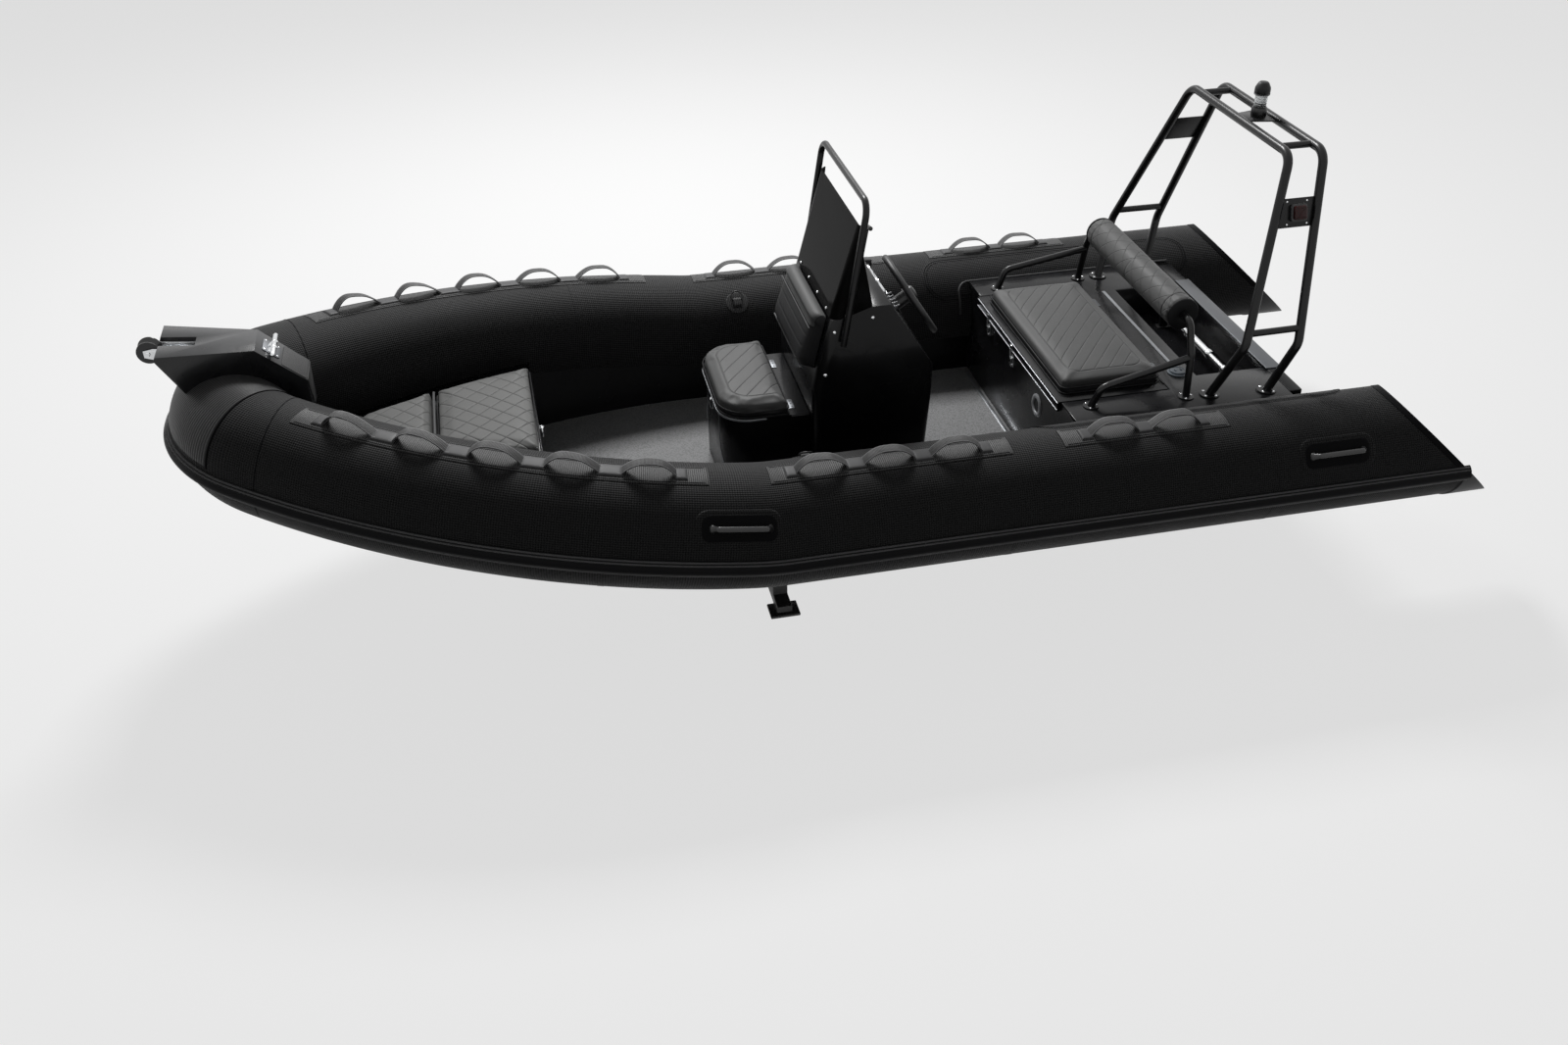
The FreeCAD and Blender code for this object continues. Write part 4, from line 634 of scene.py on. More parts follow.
def over(tree, shader, mask, colour):
    """Lay another colour over what the shader's base colour has now, where a mask is one."""
    socket = shader.inputs["Base Color"]
    before = socket.links[0].from_socket
    mix = add(tree, "ShaderNodeMix", {"Factor": mask, "B": (*colour, 1)}, data_type="RGBA")
    tree.links.new(before, mix.inputs[6])
    tree.links.new(mix.outputs[2], socket)


# %% [markdown]
# The tubes are coated fabric: black, satin, with the cloth's weave embossed in it. The valleys
# between the raised diamonds carry painted shade, darker than the crowns. Ribbed patches and
# webbing are the same rubber with ribs across, and painted shade between the ribs.


# %% Fabric, patch and strap finishes
def patterned(name, group, pitch, dark, light, rough, depth, specular):
    """A rubbery finish with a relief group on the piece's own UV, and painted shade in its valleys.
    """
    material, tree, shader = new_finish(name, dark, light, rough, specular=specular, scale=3.0)
    pattern = add(tree, "ShaderNodeGroup", node_tree=group)
    tree.links.new(own_uv(tree), pattern.inputs["Vector"])
    pattern.inputs["Pitch"].default_value = pitch
    painted_valley_shade = ramp(tree, pattern.outputs["Height"], 0.1, 0.80, 0.95, 0.0)
    # Painted shade: the valleys of the relief are darkened towards black in the base colour.
    over(tree, shader, painted_valley_shade, tuple(0.10 * c for c in dark))
    relief(tree, shader, pattern.outputs["Height"], depth)
    return material


tube_cloth = patterned("tube_cloth", weave, 0.0085, (0.068, 0.068, 0.069), (0.098, 0.098, 0.099),
                       0.48, 0.0013, specular=0.04)
ribbed_patch = patterned("ribbed_patch", ribs, 0.0080, (0.075, 0.075, 0.076), (0.105, 0.105, 0.106),
                         0.46, 0.0010, specular=0.18)
ribbed_pad = patterned("ribbed_pad", ribs, 0.0070, (0.115, 0.115, 0.116), (0.155, 0.155, 0.156),
                       0.46, 0.0009, specular=0.18)
flap_bead = plain_finish("flap_bead", (0.10, 0.10, 0.102), (0.14, 0.14, 0.143), 0.46, grain=0.0001,
                         specular=0.12)
strap_web = patterned("strap_web", ribs, 0.0045, (0.15, 0.15, 0.151), (0.21, 0.21, 0.211), 0.46,
                      0.0006, specular=0.15)
# The woven strap's two folded edges carry a painted highlight, as bands of its UV's second number.
tree = strap_web.node_tree
shader = tree.nodes["Principled BSDF"]
across = add(tree, "ShaderNodeSeparateXYZ", {"Vector": own_uv(tree)}).outputs["Y"]
across = math(tree, "ABSOLUTE", across)
over(tree, shader, math(tree, "GREATER_THAN", across, 0.0175), (0.30, 0.30, 0.305))
seam_tape = plain_finish("seam_tape", (0.010, 0.010, 0.011), (0.018, 0.018, 0.019), 0.55,
                         grain=0.0001, specular=0.03)
moulded_rubber = plain_finish("moulded_rubber", (0.012, 0.012, 0.013), (0.022, 0.022, 0.023), 0.28,
                              grain=0.0001, specular=0.5)
tip_moulding = plain_finish("tip_moulding", (0.022, 0.022, 0.024), (0.034, 0.034, 0.036), 0.45,
                            grain=0.00012, specular=0.25)

# The rub rail's two beads carry a painted highlight along their tops: bands of its UV's second
# number.
rail_rubber, tree, shader = new_finish("rail_rubber", (0.010, 0.010, 0.011), (0.018, 0.018, 0.019),
                                       0.46, specular=0.06, grain=0.0001)
height = add(tree, "ShaderNodeSeparateXYZ", {"Vector": own_uv(tree)}).outputs["Y"]
for middle in (0.2090, 0.2200):
    away = math(tree, "ABSOLUTE", math(tree, "SUBTRACT", height, middle))
    over(tree, shader, math(tree, "LESS_THAN", away, 0.0030), (0.36, 0.36, 0.365))
print("fabric and rubber finishes ready")

# %% [markdown]
# Gelcoat is glossy black plastic: a clear coat over a dark base, with a faint long-wave ripple.
# Painted tube is satin. Stainless steel is brushed a little and picks up the pale studio. The
# seat vinyl is soft, with a leather-like grain.

# %% Hard finishes
def rippled(tree, shader, scale, detail, depth):
    """A long soft ripple over a moulded face."""
    ripple = add(tree, "ShaderNodeTexNoise", {"Vector": own_place(tree), "Scale": scale,
                                              "Detail": detail})
    relief(tree, shader, ripple.outputs["Fac"], depth)


gelcoat, tree, shader = new_finish("gelcoat", (0.006, 0.006, 0.007), (0.011, 0.011, 0.012), 0.26,
                                   specular=0.16, Coat_Weight=0.09, Coat_Roughness=0.06)
rippled(tree, shader, 9.0, 1.0, 0.0012)
step_gelcoat, tree, shader = new_finish("step_gelcoat", (0.012, 0.012, 0.014),
                                        (0.030, 0.031, 0.034), 0.30, scale=9.0, specular=0.35,
                                        Coat_Weight=0.2, Coat_Roughness=0.12)
rippled(tree, shader, 11.0, 2.0, 0.0015)
brushed_alloy = plain_finish("brushed_alloy", (0.26, 0.27, 0.285), (0.36, 0.37, 0.385), 0.38,
                             metallic=1.0, scale=12.0, grain=0.00005)
dull_alloy = plain_finish("dull_alloy", (0.10, 0.105, 0.112), (0.15, 0.155, 0.163), 0.42,
                          metallic=1.0, scale=12.0, grain=0.00005)
painted_pipe = plain_finish("painted_pipe", (0.010, 0.010, 0.011), (0.018, 0.018, 0.019), 0.30,
                            scale=8.0, grain=0.00008, specular=0.22, Coat_Weight=0.10,
                            Coat_Roughness=0.12)
bright_steel = plain_finish("bright_steel", (0.62, 0.63, 0.64), (0.74, 0.75, 0.76), 0.20,
                            metallic=1.0, scale=14.0, grain=0.00003)
wheel_grip = plain_finish("wheel_grip", (0.016, 0.016, 0.017), (0.026, 0.026, 0.027), 0.5,
                          scale=10.0, grain=0.0003)
lamp_case = plain_finish("lamp_case", (0.012, 0.012, 0.013), (0.020, 0.020, 0.021), 0.28,
                         scale=12.0, grain=0.00006)
pale_plastic = plain_finish("pale_plastic", (0.42, 0.43, 0.45), (0.52, 0.53, 0.55), 0.35,
                            scale=14.0, grain=0.00008)
cap_blue_grey = plain_finish("cap_blue_grey", (0.17, 0.20, 0.235), (0.24, 0.275, 0.31), 0.4,
                             scale=20.0, grain=0.0001)
dark_gauze = plain_finish("dark_gauze", (0.006, 0.006, 0.007), (0.014, 0.014, 0.015), 0.6,
                          scale=30.0, grain=0.0004)
cradle_paint = plain_finish("cradle_paint", (0.012, 0.012, 0.013), (0.026, 0.025, 0.024), 0.48,
                            scale=7.0, grain=0.0002)

# Smoked sheet lets a dark share of light through; lens plastics do the same in their own colours.
smoked_sheet = plain_finish("smoked_sheet", (0.020, 0.020, 0.020), (0.028, 0.028, 0.028), 0.08,
                            specular=0.15, Transmission_Weight=0.20, IOR=1.1)
red_lens = plain_finish("red_lens", (0.11, 0.004, 0.004), (0.16, 0.006, 0.005), 0.14, scale=20.0,
                        Transmission_Weight=0.25, IOR=1.3)
green_lens = plain_finish("green_lens", (0.003, 0.07, 0.022), (0.005, 0.10, 0.03), 0.14, scale=20.0,
                          Transmission_Weight=0.25, IOR=1.3)
clear_lens = plain_finish("clear_lens", (0.72, 0.74, 0.75), (0.84, 0.86, 0.87), 0.08, scale=20.0,
                          Transmission_Weight=0.7, IOR=1.3)

# Non-slip decking: closely set grey pimples, darker between them, and a drift of shade.
nonslip, tree, shader = new_finish("nonslip", (0.21, 0.212, 0.215), (0.32, 0.322, 0.325), 0.6,
                                   scale=2.5, specular=0.3)
pimples = add(tree, "ShaderNodeTexVoronoi", {"Vector": own_place(tree), "Scale": 170.0})
from_top = pimples.outputs["Distance"]
over(tree, shader, ramp(tree, from_top, 0.35, 0.75, 0.0, 0.5), (0.09, 0.09, 0.092))
relief(tree, shader, math(tree, "SUBTRACT", 1.0, from_top), 0.0008)
print("hard finishes ready")


# %% [markdown]
# Seat covers are vinyl over foam. The top panel is grey with stitched lines, the sides are black,
# and the join is hidden by piping. The cover's pattern needs three numbers at every point: its plan
# place as a UV, how high it stands in the cushion, and how far inside the stitched panel it lies.


# %% Seat vinyl
def leather_grain(tree):
    """The height of a fine leather-like grain."""
    cells = add(tree, "ShaderNodeTexVoronoi", {"Vector": own_place(tree), "Scale": 420.0})
    return cells.outputs["Distance"]


def seat_cover(name, dark, light, line_turns, pitch, panel_only, side_split=0.45):
    """Grey vinyl with stitched lines at the given turns, over the whole top or inside a stitched
    panel only, painted shade in their sewn channels, and black below a share of its height."""
    material, tree, shader = new_finish(name, dark, light, 0.50, specular=0.14, scale=5.0)
    plan = own_uv(tree)
    high = add(tree, "ShaderNodeAttribute", attribute_name="height_share").outputs["Fac"]
    top = math(tree, "GREATER_THAN", high, side_split)
    panel, groove, thread = top, 0.0, 0.0
    if panel_only:
        inside = add(tree, "ShaderNodeAttribute", attribute_name="panel_inset").outputs["Fac"]
        panel = math(tree, "GREATER_THAN", inside, 0.0)
        rim = math(tree, "ABSOLUTE", inside)
        groove = ramp(tree, rim, 0.0, 0.005, 1.0, 0.0, "SMOOTHSTEP")
        thread = math(tree, "LESS_THAN", rim, 0.0009)
    for line_turn in line_turns:
        lines = add(tree, "ShaderNodeGroup", node_tree=stitched)
        tree.links.new(plan, lines.inputs["Vector"])
        lines.inputs["Turn"].default_value = line_turn
        lines.inputs["Pitch"].default_value = pitch
        channel = math(tree, "MULTIPLY", lines.outputs["Channel"], panel)
        stitches = math(tree, "MULTIPLY", lines.outputs["Thread"], panel)
        groove = math(tree, "MAXIMUM", groove, channel)
        thread = math(tree, "MAXIMUM", thread, stitches)
    groove = math(tree, "MULTIPLY", groove, top)
    thread = math(tree, "MULTIPLY", thread, top)
    # Painted shade: the sewn channels are darkened in the base colour, besides their bump.
    over(tree, shader, math(tree, "MULTIPLY", groove, 0.22), tuple(0.35 * c for c in dark))
    over(tree, shader, thread, tuple(0.45 * c for c in light))
    over(tree, shader, math(tree, "SUBTRACT", 1.0, top), (0.012, 0.012, 0.013))
    normal = relief(tree, shader, leather_grain(tree), 0.00015)
    relief(tree, shader, math(tree, "SUBTRACT", 1.0, groove), 0.0012, chain=normal)
    return material


def plain_vinyl(name, dark, light):
    """Vinyl with its leather-like grain and nothing else."""
    material, tree, shader = new_finish(name, dark, light, 0.50, specular=0.14, scale=5.0)
    relief(tree, shader, leather_grain(tree), 0.00018)
    return material


VINYL_DARK = (0.118, 0.119, 0.119)
VINYL_LIGHT = (0.158, 0.159, 0.158)
black_vinyl = plain_vinyl("black_vinyl", (0.010, 0.010, 0.011), (0.018, 0.018, 0.019))
# A darker copy of the grey vinyl, as painted shade for the console backrest's front panel.
painted_shade_vinyl = plain_vinyl("painted_shade_vinyl", (0.018, 0.018, 0.019), (0.028, 0.028, 0.029))
grey_vinyl = plain_vinyl("grey_vinyl", VINYL_DARK, VINYL_LIGHT)
# Diamonds are two sets of lines, turned by 45 degrees each way. The roll is grey all round, so its
# share of black is set below the lowest height.
QUILT_TURNS = (np.radians(45), np.radians(-45))
quilted_vinyl = seat_cover("quilted_vinyl", VINYL_DARK, VINYL_LIGHT, QUILT_TURNS, 0.062, False,
                           side_split=-1.0)
print("materials", len(bpy.data.materials))

# %% [markdown]
# ## The inflated tubes
# On the boat the two tubes are one long bag of coated fabric, closed at each stern by a flat
# sloping panel. It could be a curve with a bevel, but then the sloping ends would need a boolean
# cut. Instead the surface is worked out directly: distance along the line by angle round it, with
# every row's start pushed forward to where the sloping panel meets it.

# %% Tube skin
CUT_RISE = 0.445
CUT_RUN = 0.470
CUT_FOOT = 0.220


def cut_start(angle):
    """Where the sloping panel meets the tube at an angle: x = run (R sin angle + foot) / rise."""
    return CUT_RUN * (TUBE_R * np.sin(angle) + CUT_FOOT) / CUT_RISE


ROUND = 128
ROWS = 560
tube_angle = np.radians(-90 + 360 * (np.arange(ROUND) + 0.5) / ROUND)
row_start = np.maximum(TIP_LENGTH, cut_start(tube_angle))
share = np.linspace(0, 1, ROWS)[:, None]
tube_s = row_start + (2 * PATH_LENGTH - 2 * row_start) * share
tube_a = np.broadcast_to(tube_angle, tube_s.shape)
tube_points = on_skin(tube_s, tube_a, np.full(tube_s.shape, TUBE_R))
tube_uv = np.stack([tube_s, tube_a * TUBE_R], -1)
tube_faces = grid_faces(ROWS, ROUND, wrap_columns=True)
half_round = np.arange(ROUND // 2 - 1)
for row in (0, ROWS - 1):
    across = ROUND - 1 - half_round
    panel = np.stack([half_round, half_round + 1, across - 1, across], 1)
    tube_faces += (panel + row * ROUND).tolist()
tube_shape = tube_points.reshape(-1, 3), tube_faces
piece("tube_skin", tube_shape, tube_cloth, "tube_fabric", "tube_port", "tube_starboard", uv=tube_uv)


# %% [markdown]
# Patches, tapes and strips are glued on: thin skins that follow the tube with a slightly rounded
# edge. One maker covers them all. It takes rows of distance and angle, lifts the inside of the grid
# to the patch's thickness, and lets its edges drop to just under the tube's skin.


# %% Glued-on skins
def glued_skin(grid_s, grid_a, thickness, edge=2):
    """A patch over a grid of distances and angles. The outermost rows and columns lie just under
    the skin, and the next ones rise on a quarter circle to the full thickness."""
    rows, columns = grid_s.shape
    from_end = np.minimum(np.arange(rows), np.arange(rows)[::-1])[:, None]
    from_side = np.minimum(np.arange(columns), np.arange(columns)[::-1])[None, :]
    level_in = np.clip(np.minimum(from_end, from_side) / edge, 0, 1)
    lift = thickness * np.sqrt(1 - (1 - level_in) ** 2)
    top = on_skin(grid_s, grid_a, TUBE_R + lift - 0.0004 * (level_in == 0))
    low = on_skin(grid_s, grid_a, np.full(grid_s.shape, TUBE_R - 0.0012))
    count = rows * columns
    rim = np.concatenate([np.arange(columns), np.arange(1, rows) * columns + columns - 1,
                          (rows - 1) * columns + np.arange(columns - 2, -1, -1),
                          np.arange(rows - 2, 0, -1) * columns])
    after = np.roll(rim, -1)
    wall = np.stack([rim, rim + count, after + count, after], 1).tolist()
    faces = grid_faces(rows, columns, flip=True)
    faces += [[v + count for v in face] for face in grid_faces(rows, columns)] + wall
    points = np.concatenate([top.reshape(-1, 3), low.reshape(-1, 3)])
    uv = np.stack([grid_s, grid_a * TUBE_R], -1).reshape(-1, 2)
    return (points, faces), np.concatenate([uv, uv])


def graded(start, end, count, edge=0.0012):
    """Evenly spaced values with two extra close steps at each end, for a rounded edge."""
    inner = np.linspace(start + 2 * edge, end - 2 * edge, count)
    return np.concatenate([[start, start + edge], inner, [end - edge, end]])


def band_grid(s_from, s_to, a_from, a_to, count_s, count_a):
    """Distances and angles of a patch with straight sides, angles in degrees."""
    s = graded(s_from, s_to, count_s)
    a = graded(np.radians(a_from), np.radians(a_to), count_a, 0.0012 / TUBE_R)
    return np.meshgrid(s, a, indexing="ij")


def skin_piece(name, skins, finish, slot, *stands_for):
    """One piece of several glued skins, each a shape and its UV."""
    shape = joined(*[shape for shape, _ in skins])
    uv = np.concatenate([uv for _, uv in skins])
    return piece(name, shape, finish, slot, *stands_for, uv=uv)


def other_side(s):
    """The same distance on the starboard tube."""
    return 2 * PATH_LENGTH - s


NOSE_PATCH = 0.265
nose_ends = (PATH_LENGTH - NOSE_PATCH, PATH_LENGTH + NOSE_PATCH)
nose_skin = glued_skin(*band_grid(*nose_ends, 6, 206, 90, 70), PATCH_T)
skin_piece("nose_cover", [nose_skin], ribbed_patch, "patch_ribbed", "nose_patch")

# %% Seam tapes
# A tape round the nose patch's ends, one round each sloping stern panel, and a lap seam where the
# tube's cloth is joined. On the bow the second seam leans: it starts further aft at the bottom.
TAPE_T = 0.0012
tapes, laps = [], []
for s in nose_ends:
    tapes.append(glued_skin(*band_grid(s - 0.003, s + 0.003, 4, 208, 2, 70), PATCH_T + 0.0006))
for side in (1, -1):
    turn = np.radians(graded(-35, 235, 90, 0.3))
    width = graded(-0.003, 0.003, 2)
    lean = PATH_LENGTH + side * (0.375 + 0.055 * np.cos(turn - np.radians(20)))
    grid_s = lean[None, :] + width[:, None]
    tapes.append(glued_skin(grid_s, np.broadcast_to(turn, grid_s.shape), TAPE_T))
    turn = np.radians(graded(2, 178, 60, 0.3))
    width = graded(0.0, 0.034, 5)
    grid_s = cut_start(turn)[None, :] + width[:, None]
    grid_s = np.maximum(grid_s, TIP_LENGTH - 0.004)
    grid_s = grid_s if side > 0 else other_side(grid_s)
    tapes.append(glued_skin(grid_s, np.broadcast_to(turn, grid_s.shape), 0.0016))
    for s in (0.99, 2.0, 3.45):
        s = s if side > 0 else other_side(s)
        laps.append(glued_skin(*band_grid(s - 0.012, s + 0.012, -60, 190, 4, 60), 0.0008))
skin_piece("tube_tapes", tapes, seam_tape, "rubber_black")
skin_piece("tube_laps", laps, tube_cloth, "tube_fabric")

# %% [markdown]
# ## Stern tips and rub rails
# The tips are hard mouldings over the tubes' lowest ends. They keep their built shape with an eased
# edge. The rub rail is an extruded rubber strake with a round nose, a step and two raised beads.

# %% Tips and rails
finished(softened("tube_tips", 0.004, 3), tip_moulding, "tip_grey", "tube_tips")

# The rail's face, from its upper foot to its lower one: how far it stands off the tube and how high
# it is, in millimetres
RAIL_FACE = np.array([
    (0, 34.6), (6, 33.5), (12, 29.5), (15, 26.5), (16.5, 24.8), (17.8, 24.6), (18.6, 23.6),
    (18.3, 22.4), (19.6, 21.4), (20.9, 20.6), (21.0, 19.4), (20.4, 18.4), (22.5, 15.5),
    (25.5, 10), (27.5, 4), (27.9, 0), (27.4, -4.5), (25.6, -9.5), (24.2, -10.4),
    (24.6, -12.2), (22.0, -16.6), (20.4, -17.2), (20.2, -19.2), (16.0, -24.6),
    (12, -29.5), (6, -33.5), (0, -34.6)]) * 0.001
RAIL_ANGLE = np.radians(-7.6)
face_angle = RAIL_FACE[:, 1] / TUBE_R
foot_angle = np.linspace(face_angle[-1], face_angle[0], 8)[1:-1]
rail_turn = np.arcsin(RAIL_FACE[:, 1] / (TUBE_R + RAIL_FACE[:, 0]))
rail_a = RAIL_ANGLE + np.concatenate([rail_turn, foot_angle])
rail_r = TUBE_R + np.concatenate([RAIL_FACE[:, 0], np.full(6, -0.0008)])
rail_v = np.concatenate([run_length(RAIL_FACE), np.full(6, 0.09)]) + 0.2
rail_s = np.linspace(TIP_LENGTH, 2 * PATH_LENGTH - TIP_LENGTH, 620)
grid_s, grid_a = np.meshgrid(rail_s, rail_a, indexing="ij")
rings = on_skin(grid_s, grid_a, np.broadcast_to(rail_r, grid_s.shape))
rail_uv = np.stack([grid_s, np.broadcast_to(rail_v, grid_s.shape)], -1)
rail_nodes = ("rub_rail_port", "rub_rail_starboard")
piece("rub_rail", ring_stack(rings), rail_rubber, "rubber_black", *rail_nodes, uv=rail_uv)
print("rail beads at v", np.round(rail_v[[6, 10]], 4))

# %% [markdown]
# ## Strap handles
# Along each crown runs a ribbed pad for each group of straps, and on it stand short loops of
# webbing. Webbing could be simulated, but a stitched loop holds one shape, so it is drawn: flat
# feet, a rise of fifty millimetres that falls off with a power of the distance from the crown, and
# a shallow dip where hands have pressed it. Each loop leans and differs a little from the next,
# and a smooth cover hides the feet between two loops.

# %% Strap pads
STRAP_ANGLE = 84.4
STRAP_LENGTH = 0.205
PAD_HALF = np.degrees(0.050 / TUBE_R)
PAD_OVERHANG = 0.100
FOOT_REACH = 0.017
FOOT_OVERHANG = 0.030
COVER_T = 0.0092
COVER_EDGE = 0.003
PAD_TURNS = (STRAP_ANGLE - PAD_HALF, STRAP_ANGLE + PAD_HALF)
cover_a = graded(*np.radians([STRAP_ANGLE - 8.2, STRAP_ANGLE + 8.2]), 10, COVER_EDGE / TUBE_R)
# Each group: where its first strap starts along the tube, how many straps, and their pitch
STRAP_GROUPS = [(1.251, 2, 0.236), (2.086, 3, 0.246), (PATH_LENGTH - 1.819, 5, 0.260)]
pads, pad_lines, foot_covers = [], [], []
for start, count, pitch in STRAP_GROUPS:
    last = start + (count - 1) * pitch + STRAP_LENGTH
    s0, s1 = start - PAD_OVERHANG, last + PAD_OVERHANG
    rows = int((s1 - s0) / 0.012)
    for mirror in (False, True):
        ends = (other_side(s1), other_side(s0)) if mirror else (s0, s1)
        pads.append(glued_skin(*band_grid(*ends, *PAD_TURNS, rows, 18), PATCH_T))
        for middle in (PAD_TURNS[0] + 2.1, PAD_TURNS[1] - 2.1):
            line_ends = (ends[0] + 0.012, ends[1] - 0.012)
            line_grid = band_grid(*line_ends, middle - 0.22, middle + 0.22, rows, 2)
            pad_lines.append(glued_skin(*line_grid, PATCH_T + 0.0007, 1))
        covered = [(start - FOOT_OVERHANG, start + FOOT_REACH),
                   (last - FOOT_REACH, last + FOOT_OVERHANG)]
        for number in range(1, count):
            after = start + number * pitch
            covered.append((after - pitch + STRAP_LENGTH - FOOT_REACH, after + FOOT_REACH))
        for from_s, to_s in covered:
            cover_s = graded(from_s, to_s, 8, COVER_EDGE)
            cover_s = other_side(cover_s)[::-1] if mirror else cover_s
            cover_grid = np.meshgrid(cover_s, cover_a, indexing="ij")
            foot_covers.append(glued_skin(*cover_grid, COVER_T, 3))
skin_piece("strap_pad_skins", pads, ribbed_pad, "patch_ribbed", "strap_pads")
skin_piece("strap_pad_lines", pad_lines, seam_tape, "rubber_black")
skin_piece("strap_foot_covers", foot_covers, flap_bead, "rubber_black")

# %% Webbing loops
rng = np.random.default_rng(7)
STRAP_W = 0.044
STRAP_RISE = 0.050
FOOT = 0.014
web_section = square_round(STRAP_W, 0.0044, 0.0018, 3)


def webbing_loop(rise, dip, skew, lean):
    """Local points of one strap: along x, across y, off the skin z. Between its feet, where
    u = x / f - lean (1 - (x / f) ** 2), z = rise (1 - |u| ** 2.3) - dip exp(-(x / 0.03) ** 2).
    Lean moves the crown along the strap, and skew moves it sideways."""
    half = STRAP_LENGTH / 2 + 0.0055
    f = half - FOOT
    foot = np.array([f + 0.004, half - 0.004, half])
    x = np.concatenate([-foot[::-1], np.linspace(-f, f, 41), foot])
    u = x / f - lean * (1 - (x / f) ** 2)
    inside = np.where(np.abs(x) < f, 1 - np.abs(np.clip(u, -1, 1)) ** 2.3, 0)
    z = 0.0026 + rise * inside - dip * np.exp(-(x / 0.03) ** 2)
    path = np.stack([x, skew * inside, z], 1)
    curl = 1 + 0.10 * inside[:, None, None] * np.array([-1.0, 0.0])
    points, faces = swept(path, web_section * curl)
    along_it = np.repeat(run_length(path), len(web_section))
    return points, faces, np.stack([along_it, np.tile(web_section[:, 0], len(x))], 1)


for side, name in ((1, "port"), (-1, "starboard")):
    loops = []
    for start, count, pitch in STRAP_GROUPS:
        for number in range(count):
            rise = STRAP_RISE * rng.uniform(0.93, 1.03)
            dip, skew = rng.uniform(0.001, 0.004), rng.uniform(-0.004, 0.004)
            lean = rng.uniform(-0.05, 0.10) + (0.06 * number if count > 3 else 0.0)
            points, faces, uv = webbing_loop(rise, dip, skew, lean)
            middle = start + number * pitch + STRAP_LENGTH / 2
            placed = stood_on_tube(points, middle, np.radians(STRAP_ANGLE), PATCH_T + 0.0004)
            loops.append(((placed * [1, side, 1], faces), uv))
    skin_piece("webbing_" + name, loops, strap_web, "webbing", "strap_handles_" + name)

# %% [markdown]
# ## Grab handles and lashing rings
# A grab handle is one rubber moulding: a rounded patch, and a bar that swells where it meets the
# patch. The bar is an oval section swept along a bent line, with the section's size following the
# distance to the nearer foot.


# %% Patches with a free outline
def outlined_skin(outline, s_middle, angle, thickness, side):
    """A patch on the tube whose outline is given as (along, round) pairs about its middle: rings
    that shrink from the outline to its centre, high on top and just under the skin below."""
    sizes = np.array([0.001, 0.35, 0.7, 1.0, 1.0, 0.985, 0.955, 0.90, 0.7, 0.45, 0.2, 0.001])
    lifts = np.array([-0.0012] * 4 + [0.0002, 0.7 * thickness] + [thickness] * 6)
    grid = sizes[:, None, None] * np.asarray(outline)[None]
    s = s_middle + grid[..., 0]
    a = angle + grid[..., 1] / TUBE_R
    points = on_skin(s, a, TUBE_R + np.broadcast_to(lifts[:, None], s.shape))
    points, faces = ring_stack(points)
    return (points * [1, side, 1], faces), np.stack([s, a * TUBE_R], -1).reshape(-1, 2)


def rounded_path(corners, radius, steps=6):
    """Straight runs between corners, with each inner corner cut back and rounded by a quadratic
    curve p = (1-t)^2 a + 2 t (1-t) corner + t^2 b."""
    corners = np.asarray(corners, float)
    t = np.linspace(0, 1, steps + 1)[:, None]
    points = [corners[:1]]
    for before, corner, after in zip(corners[:-2], corners[1:-1], corners[2:]):
        a = corner + unit(before - corner) * radius
        b = corner + unit(after - corner) * radius
        points.append((1 - t) ** 2 * a + 2 * t * (1 - t) * corner + t ** 2 * b)
    points.append(corners[-1:])
    return np.concatenate(points)


# %% Grab handles
# The bar's size is 1 + 0.75 exp(-(d / 0.013) ** 2), where d is the distance to its nearer end.
GRAB_ANGLE = np.radians(31.0)
GRAB_MIDDLES = (0.768, 3.012)
grab_outline = square_round(0.300, 0.130, 0.045, 10)
inner_outline = square_round(0.262, 0.094, 0.030, 10)
grab_corners = [(-0.101, 0, -0.004), (-0.099, 0, 0.006), (-0.084, 0, 0.032),
                (0.084, 0, 0.032), (0.099, 0, 0.006), (0.101, 0, -0.004)]
grab_path = rounded_path(grab_corners, 0.0045, 5)
grip = np.linspace(grab_path[12], grab_path[13], 8)[1:-1]
grab_path = np.concatenate([grab_path[:13], grip, grab_path[13:]])
from_start = run_length(grab_path)
from_end = np.minimum(from_start, from_start[-1] - from_start)
swell = 1 + 0.75 * np.exp(-(from_end / 0.013) ** 2)
grab_section = circle(1.0, 18) * [0.0098, 0.0080]
patches, bars, rims = [], [], []
for middle in GRAB_MIDDLES:
    for side in (1, -1):
        patches.append(outlined_skin(grab_outline, middle, GRAB_ANGLE, PATCH_T, side))
        rim, _ = outlined_skin(inner_outline, middle, GRAB_ANGLE, PATCH_T + 0.0016, side)
        rims.append(rim)
        bar, faces = swept(grab_path, swell[:, None, None] * grab_section)
        bar = stood_on_tube(bar, middle, GRAB_ANGLE, PATCH_T) * [1, side, 1]
        bars.append((bar, faces))
skin_piece("grab_handle_patches", patches, tube_cloth, "rubber_black")
piece("grab_handle_rims", joined(*rims), seam_tape, "rubber_black")
piece("grab_handles", joined(*bars), moulded_rubber, "rubber_black", "side_handles")

